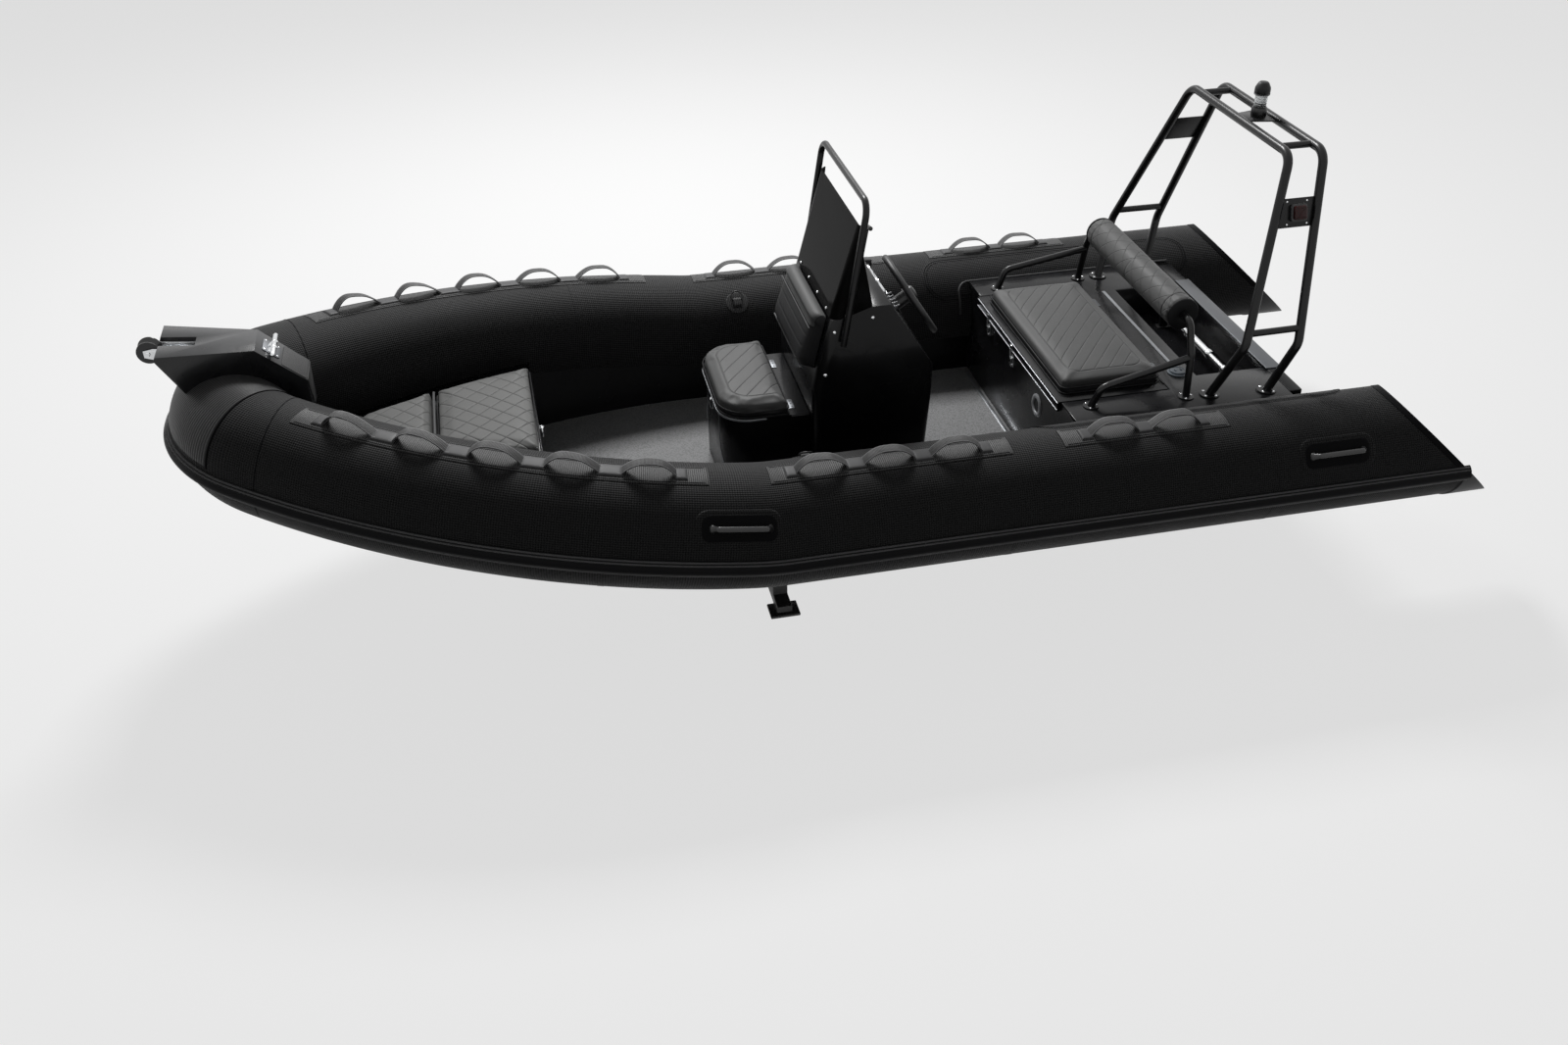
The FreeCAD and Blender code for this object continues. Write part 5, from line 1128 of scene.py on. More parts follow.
# %% Lashing rings
LASHING_S = 2.700
LASHING_ANGLE = np.radians(132.0)
RING_R = 0.023
ring_patches, ring_metal = [], []
tab_corners = [(0, -0.024, 0.002), (0, -0.016, 0.010), (0, 0.012, 0.010), (0, 0.022, 0.002)]
tab = swept(rounded_path(tab_corners, 0.005, 4), square_round(0.034, 0.0026, 0.001, 2))
turn = np.linspace(-0.35 * np.pi, 1.35 * np.pi, 41)
RING_LIFT = 0.0078
ring_y = 0.026 + RING_R * np.sin(turn)
bow_of_ring = np.stack([RING_R * np.cos(turn), ring_y, np.full(41, RING_LIFT)], 1)
ring_path = np.concatenate([bow_of_ring, [[0, 0.0055, RING_LIFT]]])
d_ring = swept(ring_path, circle(0.0036, 12), closed=True)
for side in (1, -1):
    patch = outlined_skin(circle(0.050, 48), LASHING_S, LASHING_ANGLE, PATCH_T, side)
    stood = []
    for points, faces in (tab, d_ring):
        points = stood_on_tube(points, LASHING_S, LASHING_ANGLE, PATCH_T - 0.001)
        stood.append((points * [1, side, 1], faces))
    ring_patches += [patch, (stood[0], tab[0][:, :2])]
    ring_metal.append(stood[1])
skin_piece("lashing_patches", ring_patches, ribbed_patch, "patch_ribbed", "lashing_rings")
piece("lashing_d_rings", joined(*ring_metal), painted_pipe, "metal_black")

# %% [markdown]
# ## Seat cushions
# A cushion is a bag of vinyl pulled over foam. Its sides pull in between the corners, its top is
# crowned, and its seams are ridges of piping. Cloth simulation gives that for free: the plain block
# is remeshed into an even net, blown up a little from the inside with its underside held, and
# frozen. The sewn channels come after it, because the remesh would wipe them out.


# %% A block for a cushion
def rounded_rectangle_depth(x, y, half_x, half_y, corner):
    """Signed distance inside a rounded rectangle about the origin: positive inside."""
    qx = np.abs(x) - (half_x - corner)
    qy = np.abs(y) - (half_y - corner)
    outer = np.hypot(np.maximum(qx, 0), np.maximum(qy, 0))
    return corner - outer - np.minimum(np.maximum(qx, qy), 0)


def cushion_block(outline, base, height, shrink, crown, round_top):
    """A closed block on an outline: a flat underside, straight sides, a rounded shoulder, and a top
    whose rings shrink to the middle and rise by crown times (1 - share squared)."""
    middle = (outline.max(0) + outline.min(0)) / 2
    turn = np.linspace(0, np.pi / 2, 5)
    levels = [(shrink + 0.004, 0.0), (shrink, 0.004)]
    levels += [(shrink + round_top * (1 - np.cos(t)), height - round_top * (1 - np.sin(t)))
               for t in turn]
    rings = [np.column_stack([inset_outline(outline, inset), np.full(len(outline), base + level)])
             for inset, level in levels]
    last = rings[-1][:, :2] - middle
    for share in (0.85, 0.7, 0.5, 0.3, 0.12):
        top = np.full(len(outline), base + height + crown * (1 - share ** 2))
        rings.append(np.column_stack([last * share + middle, top]))
    return ring_stack(rings)


def puffed(name, shape, body, voxel, cap):
    """Remesh a closed block to an even net, blow it up for twenty steps with its underside held,
    and keep each point within a cap of where it was."""
    source = mesh_object(name + "_start", shape, body)
    remesh = source.modifiers.new("net", "REMESH")
    remesh.mode = "VOXEL"
    remesh.voxel_size = voxel
    net = as_modified(source)
    bpy.data.objects.remove(source)
    obj = riding_object(name, net, body)
    start = points_of(net)
    held = obj.vertex_groups.new(name="underside")
    held.add(np.flatnonzero(start[:, 2] < start[:, 2].min() + 0.006).tolist(), 1.0, "ADD")
    cloth = obj.modifiers.new("vinyl", "CLOTH")
    settings = cloth.settings
    settings.quality = 4
    settings.mass = 0.3
    settings.tension_stiffness = 12
    settings.compression_stiffness = 12
    settings.bending_stiffness = 0.6
    settings.use_pressure = True
    settings.uniform_pressure_force = 4.0
    settings.vertex_group_mass = "underside"
    settings.effector_weights.gravity = 0.0
    for step in range(1, 21):
        bpy.context.scene.frame_set(step)
    blown = obj.evaluated_get(bpy.context.evaluated_depsgraph_get()).to_mesh()
    moved = points_of(blown) - start
    length = np.linalg.norm(moved, axis=1)
    moved *= np.minimum(1, cap / np.maximum(length, 1e-9))[:, None]
    net.vertices.foreach_set("co", (start + moved).ravel())
    obj.modifiers.clear()
    obj.vertex_groups.clear()
    bpy.context.scene.frame_set(1)
    most = float(np.minimum(length, cap).max())
    print(name, "swelled by up to", round(most * 1000, 1), "mm")
    smooth = obj.modifiers.new("smooth", "SMOOTH")
    smooth.iterations = 3
    finer = obj.modifiers.new("finer", "SUBSURF")
    finer.levels = 1
    finer.render_levels = 1
    baked = as_modified(obj)
    obj.modifiers.clear()
    obj.data = baked
    baked.polygons.foreach_set("use_smooth", [True] * len(baked.polygons))
    return obj


def channel_depth(away):
    """How deep a sewn channel is at a distance from its line: one on it, nothing 5.5 mm away."""
    return np.clip(1 - np.abs(away) / 0.0055, 0, 1) ** 2


def sewn(obj, middle, turns, pitch, depth, space, inset_at=None):
    """Press sewn channels into the top of a cushion, inside its stitched panel where it has one,
    keep it in its space, and store what its cover needs: plan place, height share and how far
    inside the panel each point lies."""
    mesh = obj.data
    co = points_of(mesh)
    x, y = co[:, 0] - middle[0], co[:, 1] - middle[1]
    low, high = space
    share = np.clip((co[:, 2] - low[2]) / (high[2] - low[2]), 0, 1)
    stored = {"height_share": share}
    channel = np.zeros(len(co))
    for turn in turns:
        across = np.cos(turn) * x - np.sin(turn) * y
        away = ((across / pitch + 0.5) % 1 - 0.5) * pitch
        channel = np.maximum(channel, channel_depth(away))
    if inset_at is not None:
        inset = inset_at(x, y)
        stored["panel_inset"] = inset
        channel = np.maximum(np.where(inset > 0, channel, 0), channel_depth(inset))
    co[:, 2] -= depth * channel * np.clip((share - 0.6) / 0.3, 0, 1)
    co = np.clip(co, low - [0.006, 0.006, -0.0002], high + [0.006, 0.006, 0.012])
    mesh.vertices.foreach_set("co", co.ravel())
    mesh.update()
    for name, values in stored.items():
        layer = mesh.attributes.new(name, "FLOAT", "POINT")
        layer.data.foreach_set("value", values.astype(np.float32))
    lay_uv(mesh, np.stack([x, y], 1))
    return obj


def piping(outline, inset, height):
    """A round cord sewn along an outline at a height."""
    ring = inset_outline(outline, inset)
    path = np.column_stack([ring, np.full(len(ring), height)])
    return swept(path, circle(0.0028, 8), closed=True)


# %% A seat's cushion
SEAT_LINES = (np.radians(38),)
UNDERSIDE_LIFT = 0.0004


def seat_cushion(seat, outline, middle, round_top, voxel, line_pitch, inset_at):
    """One seat's cushion with its cover, and piping round its join and its foot."""
    low, high = span(seat + "_seat_cushion")
    height = high[2] - low[2]
    body = seat + "_seat_lid"
    block = cushion_block(outline, low[2] + UNDERSIDE_LIFT, height, 0.003, 0.006, round_top)
    cushion = puffed(seat + "_cushion", block, body, voxel, 0.007)
    sewn(cushion, middle, SEAT_LINES, line_pitch, 0.0012, (low, high), inset_at)
    cover = seat_cover(seat + "_seat_cover", VINYL_DARK, VINYL_LIGHT, SEAT_LINES, line_pitch, True)
    finished(cushion, cover, "vinyl_grey", seat + "_seat_cushion")
    join, foot = low[2] + height * 0.47, low[2] + 0.004
    seams = joined(piping(outline, 0.0015, join), piping(outline, 0.002, foot))
    piece(seat + "_cushion_piping", seams, black_vinyl, "vinyl_black", body=body)


# %% Helm seat cushion
low, high = span("helm_seat_cushion")
helm_size = high - low
helm_middle = (low + high) / 2
helm_outline = square_round(helm_size[0], helm_size[1], 0.028, 8) + helm_middle[:2]


def helm_inset(x, y):
    """Depth inside the helm cushion's stitched panel."""
    half_x, half_y = helm_size[:2] / 2 - 0.055
    return rounded_rectangle_depth(x, y, half_x, half_y, 0.045)


seat_cushion("helm", helm_outline, helm_middle, 0.016, 0.0085, 0.047, helm_inset)

# %% Front seat cushion
low, high = span("front_seat_cushion")
front_size = high - low
front_half = front_size[1] / 2
front_corner = 0.125
turn = np.linspace(-np.pi / 2, 0, 17)
arc = front_corner * np.stack([np.cos(turn), np.sin(turn)], 1)
arc = arc + [high[0] - front_corner, -front_half + front_corner]
back = np.stack([np.full(13, low[0]), np.linspace(front_half - 0.012, -front_half + 0.012, 13)], 1)
side_x = np.linspace(low[0] + 0.012, high[0] - front_corner - 0.01, 7)
side_run = np.stack([side_x, np.full(7, -front_half)], 1)
half_outline = np.concatenate([side_run, arc])
front_outline = np.concatenate([back, half_outline, (half_outline * [1, -1])[::-1]])
front_middle = np.array([(low[0] + high[0]) / 2, 0.0])


def front_inset(x, y):
    """Depth inside the front cushion's stitched panel, which runs out at the aft edge and is round
    at its fore corners."""
    return rounded_rectangle_depth(x + 0.055, y, front_size[0] / 2, front_half - 0.060, 0.085)


seat_cushion("front", front_outline, front_middle, 0.018, 0.0075, 0.055, front_inset)

# %% [markdown]
# The two bow cushions are one triangular pad cut across: the after one lies on the locker's lid and
# turns with it, the fore one is fixed. Their sides follow the tubes' inner walls. Both are quilted
# in diamonds all over.


# %% Bow cushions
def edge_of_node(node, samples):
    """Half the width of a node at several x, read from its own points: at each x, the mesh's widest
    section edge, found by interpolating along every edge that crosses it."""
    mesh = nodes[node].data
    co = points_of(mesh)
    pairs = np.empty(len(mesh.edges) * 2, int)
    mesh.edges.foreach_get("vertices", pairs)
    a, b = co[pairs[::2]], co[pairs[1::2]]
    run = b[:, 0] - a[:, 0]
    share = (samples[:, None] - a[:, 0]) / np.where(np.abs(run) < 1e-9, 1e-9, run)
    y = a[:, 1] + share * (b[:, 1] - a[:, 1])
    y = np.where((share >= 0) & (share <= 1) & (np.abs(run) > 1e-9), np.abs(y), 0)
    return y.max(1)


def quilted_bow_pad(name, node, body):
    """A cushion on the outline read from its node, quilted in diamonds."""
    low, high = span(node)
    height = high[2] - low[2]
    samples = np.linspace(low[0] + 0.002, high[0] - 0.002, 30)
    half = edge_of_node(node, samples)
    port = np.stack([samples, half], 1)
    outline = np.concatenate([port * [1, -1], port[::-1]])
    outline = outline[np.abs(outline[:, 1]) > 0.004]
    base = low[2] + UNDERSIDE_LIFT
    block = cushion_block(outline, base, height, 0.003, 0.004, 0.014)
    pad = puffed(name, block, body, 0.0075, 0.006)
    sewn(pad, QUILT_CENTRE, QUILT_TURNS, QUILT_PITCH, 0.0022, (low, high))
    cover = seat_cover(name + "_cover", BOW_DARK, BOW_LIGHT, QUILT_TURNS, QUILT_PITCH, False, 0.42)
    finished(pad, cover, "vinyl_grey", node)
    seams = piping(outline, 0.0015, base + height * 0.42)
    piece(name + "_piping", seams, black_vinyl, "vinyl_black", body=body)


QUILT_CENTRE = (1.30, 0.0)
QUILT_PITCH = 0.066
BOW_DARK = (0.150, 0.151, 0.148)
BOW_LIGHT = (0.215, 0.216, 0.212)
quilted_bow_pad("bow_pad_aft", "bow_cushion_aft", "bow_locker_lid")
quilted_bow_pad("bow_pad_fore", "bow_cushion_fore", "boat")

# %% [markdown]
# ## Backrests
# The helm backrest is foam round a pipe: a roll with a vinyl skin, gathered seams near its ends
# and black caps. It is turned, not simulated, since its section stays round; the wrinkles near the
# seams are small waves in its radius. Its UV is the skin laid flat, so the quilting runs round it.
# The console's backrest is a panel of grey vinyl between black sides, with rows of stitching
# across it and a fat roll along its top. Below the roll the panel is drawn darker, as painted
# shade.

# %% Backrest roll
low, high = span("backrest_roll")
roll_centre = (low + high) / 2
roll_r = (high[2] - low[2]) / 2
roll_half = (high[1] - low[1]) / 2
station = np.linspace(-1, 1, 261)
y = roll_half * station
from_end = roll_half - np.abs(y)
soft = roll_r * (1 - 0.10 * np.exp(-(from_end / 0.010) ** 2))
seam = np.exp(-((from_end - 0.055) / 0.0035) ** 2) + 0.6 * np.exp(-(y / 0.0035) ** 2)
soft = soft - 0.0028 * seam
turn = np.linspace(0, 2 * np.pi, 73)[:-1]
near_end = np.exp(-(from_end / 0.09) ** 2)[:, None]
gather = near_end * 0.0008 * np.sin(turn * 17 + 4 * station[:, None])
long_seam = 0.0022 * np.exp(-(((turn - 2.2 + np.pi) % (2 * np.pi) - np.pi) * roll_r / 0.004) ** 2)
radius = soft[:, None] + gather - long_seam - 0.0008 * (1 + np.sin(3 * station))[:, None]
rings = np.stack([roll_centre[0] + radius * np.cos(turn), np.broadcast_to(y[:, None], radius.shape),
                  roll_centre[2] + radius * np.sin(turn)], -1)
PIPE_HOLE = 0.0146
end = np.stack([roll_centre[0] + PIPE_HOLE * np.cos(turn), np.full(72, -roll_half),
                roll_centre[2] + PIPE_HOLE * np.sin(turn)], -1)
rings = np.concatenate([[end * [1, -1, 1]], [end], rings])
roll_shape = rings.reshape(-1, 3), grid_faces(len(rings), 72, wrap_rows=True, wrap_columns=True)
ring_y = np.concatenate([[roll_half, -roll_half], y])
laid_flat = np.meshgrid(ring_y, ((turn - 1.5 * np.pi) % (2 * np.pi)) * roll_r, indexing="ij")
roll_cover = piece("backrest_cover", roll_shape, quilted_vinyl, "vinyl_grey", "backrest_roll",
                   uv=np.stack(laid_flat, -1))
caps = []
for side in (1, -1):
    outline = [(-0.003, roll_r * 0.93), (0.000, roll_r * 0.985), (0.0035, roll_r * 0.96),
               (0.006, roll_r * 0.80), (0.0065, 0.030), (0.004, PIPE_HOLE), (-0.003, PIPE_HOLE)]
    caps.append(turned_ring(outline, roll_centre + [0, side * roll_half, 0], (0, side, 0), 48))
piece("backrest_end_caps", joined(*caps), black_vinyl, "vinyl_black")

# %% Console backrest
low, high = span("console_backrest")
# Its side outline, fore face upwards from the foot and over the top: x ahead of its aft foot, and z
face = np.array([(0.000, 0.920), (0.046, 0.926), (0.054, 0.956), (0.044, 0.990), (0.020, 1.062),
                 (0.002, 1.112), (0.006, 1.124), (-0.003, 1.137), (-0.018, 1.143),
                 (-0.036, 1.142), (-0.050, 1.131)])
foot_x = low[0] + 0.0559
face[:, 0] += foot_x
fine = np.linspace(0, 1, 90)
steps = run_length(face)
steps /= steps[-1]
profile = np.stack([np.interp(fine, steps, face[:, i]) for i in (0, 1)], 1)
kernel = np.ones(5) / 5
padded_ends = np.concatenate([np.repeat(profile[:1], 2, 0), profile, np.repeat(profile[-1:], 2, 0)])
profile = np.stack([np.convolve(padded_ends[:, i], kernel, "valid") for i in (0, 1)], 1)
back_line = np.linspace(profile[0], profile[-1], 90)
half = (high[1] - low[1]) / 2
v = np.linspace(-1, 1, 121)
edge_pull = np.sqrt(np.clip(1 - np.abs(v) ** 14, 0, 1))
ROW_PITCH = 0.046
rows_of_stitch = np.abs((profile[:, 1] - 0.958) / ROW_PITCH % 1 - 0.5) * 2
groove = np.clip(1 - (1 - rows_of_stitch) * ROW_PITCH / 2 / 0.006, 0, 1) ** 2
panel = (profile[:, 1] > 0.95) & (profile[:, 1] < 1.10) & (fine < 0.7)
crown = 0.5 * np.sin(np.clip(fine * 1.6, 0, 1) * np.pi)
depth = crown[:, None] * 0.008 * (1 - v ** 2)[None, :]
dent = (groove * panel * 0.0018)[:, None] * (np.abs(v) < 0.86)[None, :]
ahead = (depth - dent)[..., None] * [1.0, 0.0]
front = back_line[:, None] + (profile - back_line)[:, None] * edge_pull[None, :, None] + ahead
back = np.broadcast_to(back_line[::-1, None], front.shape)
loop = np.concatenate([front, back])
loop = np.stack([loop[..., 0], np.broadcast_to(v * half, loop.shape[:2]), loop[..., 1]], -1)
console_pad = piece("console_backrest_pad", ring_stack(loop.transpose(1, 0, 2)), grey_vinyl,
                    "vinyl_grey", "console_backrest", smooth_angle=60)
console_pad.data.materials.append(painted_shade_vinyl)
console_pad.data.materials.append(black_vinyl)
place = np.empty(len(console_pad.data.polygons) * 3)
console_pad.data.polygons.foreach_get("center", place)
place = place.reshape(-1, 3)
# Painted shade: below the roll the panel takes the dark copy of the grey vinyl; the ends are black.
part = np.where(place[:, 2] > 1.092, 0, 1)
part = np.where(np.abs(place[:, 1]) > half * 0.955, 2, part)
console_pad.data.polygons.foreach_set("material_index", part.astype(np.int32))
pipe_rows = []
for x, z, radius in ((0.0475, 0.9255, 0.0034), (0.0145, 1.089, 0.0022)):
    starboard_end, port_end = [foot_x + x, -half * 0.96, z], [foot_x + x, half * 0.96, z]
    pipe_rows.append(swept([starboard_end, port_end], circle(radius, 10)))
piece("console_pad_piping", joined(*pipe_rows), flap_bead, "vinyl_grey")

# %% [markdown]
# ## Moulded plastic parts
# Hull, console, seat box, helm module and bow step are gelcoat mouldings. Their shapes are right in
# the frame, but a mould never leaves a knife edge, so each is copied, its doubled points are merged
# and its edges are eased. A bevel modifier does that faster than redrawing the shapes.

# %% Mouldings
# For each finish and slot: the nodes, and the width of their eased edges
MOULDINGS = [
    (gelcoat, "gelcoat_black", {"hull": 0.006, "transom": 0.004, "helm_module": 0.005,
                                "helm_seat_lid": 0.003, "console": 0.010,
                                "front_seat_base": 0.004, "front_seat_lid": 0.002,
                                "bow_deck": 0.004, "bow_locker_lid": 0.002}),
    (step_gelcoat, "gelcoat_black", {"bow_step": 0.007}),
    (nonslip, "nonslip_grey", {"cockpit_floor": 0.002}),
    (cradle_paint, "cradle_black", {"cradle": 0.004}),
    (dull_alloy, "stainless", {"transom_cap": 0.002}),
    (bright_steel, "stainless", {"towing_eyes": 0.0015, "roller_bracket": 0.0012}),
    (lamp_case, "metal_black", {"throttle": 0.003}),
    (painted_pipe, "metal_black", {"arch_plates": 0.0012})]
for finish, slot_name, widths in MOULDINGS:
    for node, width in widths.items():
        finished(softened(node, width), finish, slot_name, node)


# %% [markdown]
# Pipes, the screen, the wheel and its column are right as they are, and only get their finish.


# %% Finishes for frame nodes
def refinish(node, finish):
    """Put a finish in every material slot of a frame node."""
    materials = nodes[node].data.materials
    for slot_number in range(len(materials)):
        materials[slot_number] = finish


for node in ("light_arch", "backrest_frame", "console_rail"):
    refinish(node, painted_pipe)
refinish("windscreen", smoked_sheet)
refinish("steering_wheel", wheel_grip)
refinish("steering_column", lamp_case)


# %% [markdown]
# ## Screws, bolts and trims
# Small bright metal is what tells the eye that a surface is fixed to another. A dome screw is one
# turned outline; a row of them is the same outline at several places, joined into one mesh.


# %% Fasteners
# The small radius that closes a turned outline at its axis
POLE = 0.00001


def dome_screw(place, direction, radius=0.006, height=0.0028):
    """A low dome with a shallow socket in its middle."""
    turn = np.linspace(0, np.pi / 2, 5)[:-1]
    outline = [(-0.0006, radius)] + [(height * np.sin(t), radius * np.cos(t) ** 0.7) for t in turn]
    outline += [(height, radius * 0.34), (height * 0.45, radius * 0.30), (height * 0.45, POLE)]
    return turned([(-0.0006, POLE)] + outline, place, direction, 14)


def bolts_round(base, direction, ring, count, radius):
    """Screws evenly round a flange of a given bolt-circle radius."""
    _, first, second = axes_for(direction)
    turns = 0.6 + 2 * np.pi * np.arange(count) / count
    places = base + ring * (np.cos(turns)[:, None] * first + np.sin(turns)[:, None] * second)
    return [dome_screw(place, direction, radius) for place in places]


DECK_Z = 0.160
TUBE_OFFSET = 0.805
DECK_EDGE = TUBE_OFFSET - np.sqrt(TUBE_R ** 2 - DECK_Z ** 2)
up = np.array([0, 0, 1.0])
# Each pair of flanges: its place from the stern, in from the deck's edge and up, then its bolt
# circle, how many bolts, and their radius
FLANGES = [(1.070, 0.092, 0.006, 0.0275, 4, 0.0058), (0.840, 0.072, 0.006, 0.0275, 4, 0.0058),
           (1.166, 0.095, 0.005, 0.0222, 3, 0.0042), (1.550, 0.112, 0.005, 0.0222, 3, 0.0042)]
flange_bolts = []
for x, inboard, lift, ring, count, radius in FLANGES:
    for side in (1, -1):
        foot = at(x, side * (DECK_EDGE - inboard), DECK_Z + lift)
        flange_bolts += bolts_round(foot, up, ring, count, radius)
piece("flange_bolts", joined(*flange_bolts), bright_steel, "stainless")

# %% Console screws and snaps
_, console_high = span("console")
side_y = console_high[1]
CONSOLE_SNAPS = [(-0.080, 0.475), (-0.045, 0.300), (-0.225, 0.520)]
snaps = []
for ahead, z in CONSOLE_SNAPS:
    for side in (1, -1):
        place = [console_high[0] + ahead, side * (side_y - 0.0002), AXIS_Z + z]
        snaps.append(dome_screw(place, (0, side, 0), 0.0075, 0.0045))
screen_screws = []
for y in np.linspace(-0.21, 0.21, 4):
    place = [console_high[0] - 0.0695, y, AXIS_Z + 0.531]
    screen_screws.append(dome_screw(place, (0.96, 0, 0.27), 0.0062))
for side in (1, -1):
    for ahead in (-0.125, -0.175, -0.215):
        place = [console_high[0] + ahead, side * (side_y - 0.0045), AXIS_Z + 0.535]
        screen_screws.append(dome_screw(place, (0, side, 0), 0.0062))
piece("console_snaps", joined(*snaps, *screen_screws), bright_steel, "stainless")

# %% Console dash: switches and two plain dials
dash_top = at(2.290, 0, 0.566)
dash_foot = at(2.110, 0, 0.285)
dash_down = unit(dash_foot - dash_top)
dash_out = np.array([dash_down[2], 0, -dash_down[0]])
plate_at = dash_top + dash_down * 0.045 + [0, 0.205, 0]
dash_plates = [plate((0.15, 0.036, 0.006), (0.004, 0.001), plate_at, (0, 1, 0), -dash_down)]
toggle_outline = [(0, POLE), (0, 0.0065), (0.004, 0.006), (0.005, 0.0030), (0.014, 0.0026),
                  (0.020, 0.0036), (0.022, POLE)]
rim_outline = [(-0.001, 0.030), (-0.001, 0.043), (0.004, 0.043), (0.007, 0.041), (0.007, 0.038),
               (0.003, 0.037), (0.003, 0.030)]
dial_outline = [(0.0, POLE), (0.0, 0.0375), (0.0035, 0.0370), (0.0035, POLE)]
tick_section = square_round(0.0016, 0.0006, 0.0002, 1)
needle_section = square_round(0.0016, 0.0008, 0.0003, 1)
toggles, dial_rims = [], []
for y in np.linspace(-0.055, 0.055, 5):
    foot = plate_at + [0, y, 0] + dash_out * 0.003
    toggles.append(turned(toggle_outline, foot, dash_out + 0.25 * dash_down, 12))
for y in (-0.06, 0.06):
    foot = dash_top + dash_down * 0.055 + [0, y, 0]
    dial_rims.append(turned(rim_outline, foot, dash_out, 40))
    dash_plates.append(turned(dial_outline, foot, dash_out, 40))
    for turn in np.radians(np.arange(-130, 131, 26)):
        spoke = np.sin(turn) * np.array([0, 1.0, 0]) - np.cos(turn) * dash_down
        start = foot + dash_out * 0.0038 + spoke * 0.0275
        toggles.append(swept([start, start + spoke * 0.006], tick_section, dash_out))
    needle = np.array([0, 0.75, 0]) - dash_down * 0.65
    start = foot + dash_out * 0.0042
    toggles.append(swept([start, start + needle * 0.026], needle_section, dash_out))
piece("dash_plates", joined(*dash_plates), lamp_case, "metal_black")
piece("dash_toggles", joined(*toggles), pale_plastic, "filler_pale")
piece("dash_dial_rims", joined(*dial_rims), bright_steel, "stainless")

# %% Bright trims
module_front = span("helm_seat_lid")[1][0]
line_half = 0.473
flat_bead = square_round(0.004, 0.005, 0.0018, 2)
lid_lines = []
for z in (AXIS_Z + 0.1215, AXIS_Z + 0.1520):
    line_ends = [[module_front, -line_half, z], [module_front, line_half, z]]
    lid_lines.append(swept(line_ends, flat_bead))
piece("helm_lid_lines", joined(*lid_lines), brushed_alloy, "stainless", body="helm_seat_lid")
strips = [plate((0.016, 1.10, 0.004, 2), (0.0025, 0.0008), at(1.665, 0, -0.250)),
          plate((0.014, 0.80, 0.004, 2), (0.0022, 0.0008), at(1.108, 0.0, DECK_Z))]
piece("deck_strips", joined(*strips), brushed_alloy, "stainless")
seat_low, _ = span("front_seat_lid")
trim_line = inset_outline(front_outline, -0.0005)
ahead_only = trim_line[trim_line[:, 0] > seat_low[0] + 0.09]
trim_path = np.column_stack([ahead_only, np.full(len(ahead_only), seat_low[2] + 0.006)])
seat_trim = swept(trim_path, square_round(0.004, 0.009, 0.0018, 2))
piece("front_seat_trim", seat_trim, brushed_alloy, "stainless", body="front_seat_lid")

# %% [markdown]
# ## Latches, vent and pull ring
# Each helm latch is a base plate, a curved lever and a wire bail. The vent is a pale turned ring
# round dark gauze, and the locker's pull is a ring that hangs from a small staple.

# %% Latches
LATCH_Y = (-0.339, -0.047)
chrome, keepers = [], []
for y in LATCH_Y:
    face = np.array([module_front - 0.012, y, AXIS_Z + 0.071])
    chrome.append(plate((0.030, 0.058, 0.005), (0.003, 0.0008), face, (0, 1, 0), (0, 0, 1)))
    lever = face + [[0.003, 0, 0.014], [0.011, 0, 0.008], [0.012, 0, -0.014], [0.007, 0, -0.027]]
    lever_section = square_round(0.018, 0.0026, 0.001, 2)
    chrome.append(swept(rounded_path(lever, 0.006), lever_section, up=(1, 0, 0)))
    for side in (-0.009, 0.009):
        bail = face + [[0.010, side, 0.004], [0.011, side, 0.030], [0.0135, side * 0.6, 0.052]]
        chrome.append(swept(rounded_path(bail, 0.006), circle(0.0016, 8), up=(1, 0, 0)))
    for z_screw in (-0.023, 0.023):
        chrome.append(dome_screw(face + [0.003, 0, z_screw], (1, 0, 0), 0.0034, 0.0016))
    top = (module_front - 0.001, y, AXIS_Z + 0.134)
    keepers.append(plate((0.026, 0.020, 0.004), (0.0035, 0.001), top, (0, 1, 0), (0, 0, 1)))
piece("helm_latch_keepers", joined(*keepers), bright_steel, "stainless", body="helm_seat_lid")

face = np.array([span("front_seat_base")[1][0], 0, AXIS_Z + 0.068])
chrome.append(plate((0.032, 0.056, 0.005), (0.004, 0.001), face, (0, 1, 0), (0, 0, 1)))
lever = face + [[0.004, 0, 0.018], [0.014, 0, 0.012], [0.014, 0, -0.014], [0.006, 0, -0.030]]
lever_section = square_round(0.020, 0.003, 0.0012, 2)
chrome.append(swept(rounded_path(lever, 0.006), lever_section, up=(1, 0, 0)))

# %% Pull ring and vent
pull = np.array([span("bow_deck")[0][0], 0, AXIS_Z + 0.022])
pull_plate = ((0.044, 0.040, 0.008), (0.003, 0.001), pull + [0, 0, 0.013])
chrome.append(plate(*pull_plate, (0, -1, 0), (0, 0, 1)))
turn = np.linspace(0, 2 * np.pi, 41)[:-1]
ring = np.stack([np.full(40, -0.0125), 0.020 * np.cos(turn), 0.020 * np.sin(turn)], 1) + pull
chrome.append(swept(ring, circle(0.0034, 12), up=(1, 0, 0), closed=True))
staple = pull + [[-0.002, -0.008, 0.020], [-0.018, -0.008, 0.020],
                 [-0.018, 0.008, 0.020], [-0.002, 0.008, 0.020]]
chrome.append(swept(rounded_path(staple, 0.005), circle(0.0024, 8)))
piece("latch_set", joined(*chrome), bright_steel, "stainless", "latches")
vent = at(1.647, 0.252, 0.020)
vent_outline = [(-0.001, 0.028), (-0.001, 0.048), (0.003, 0.048), (0.006, 0.045),
                (0.008, 0.038), (0.006, 0.031), (0.002, 0.029)]
piece("vent_ring", turned(vent_outline, vent, (1, 0, 0), 48), pale_plastic, "filler_pale")
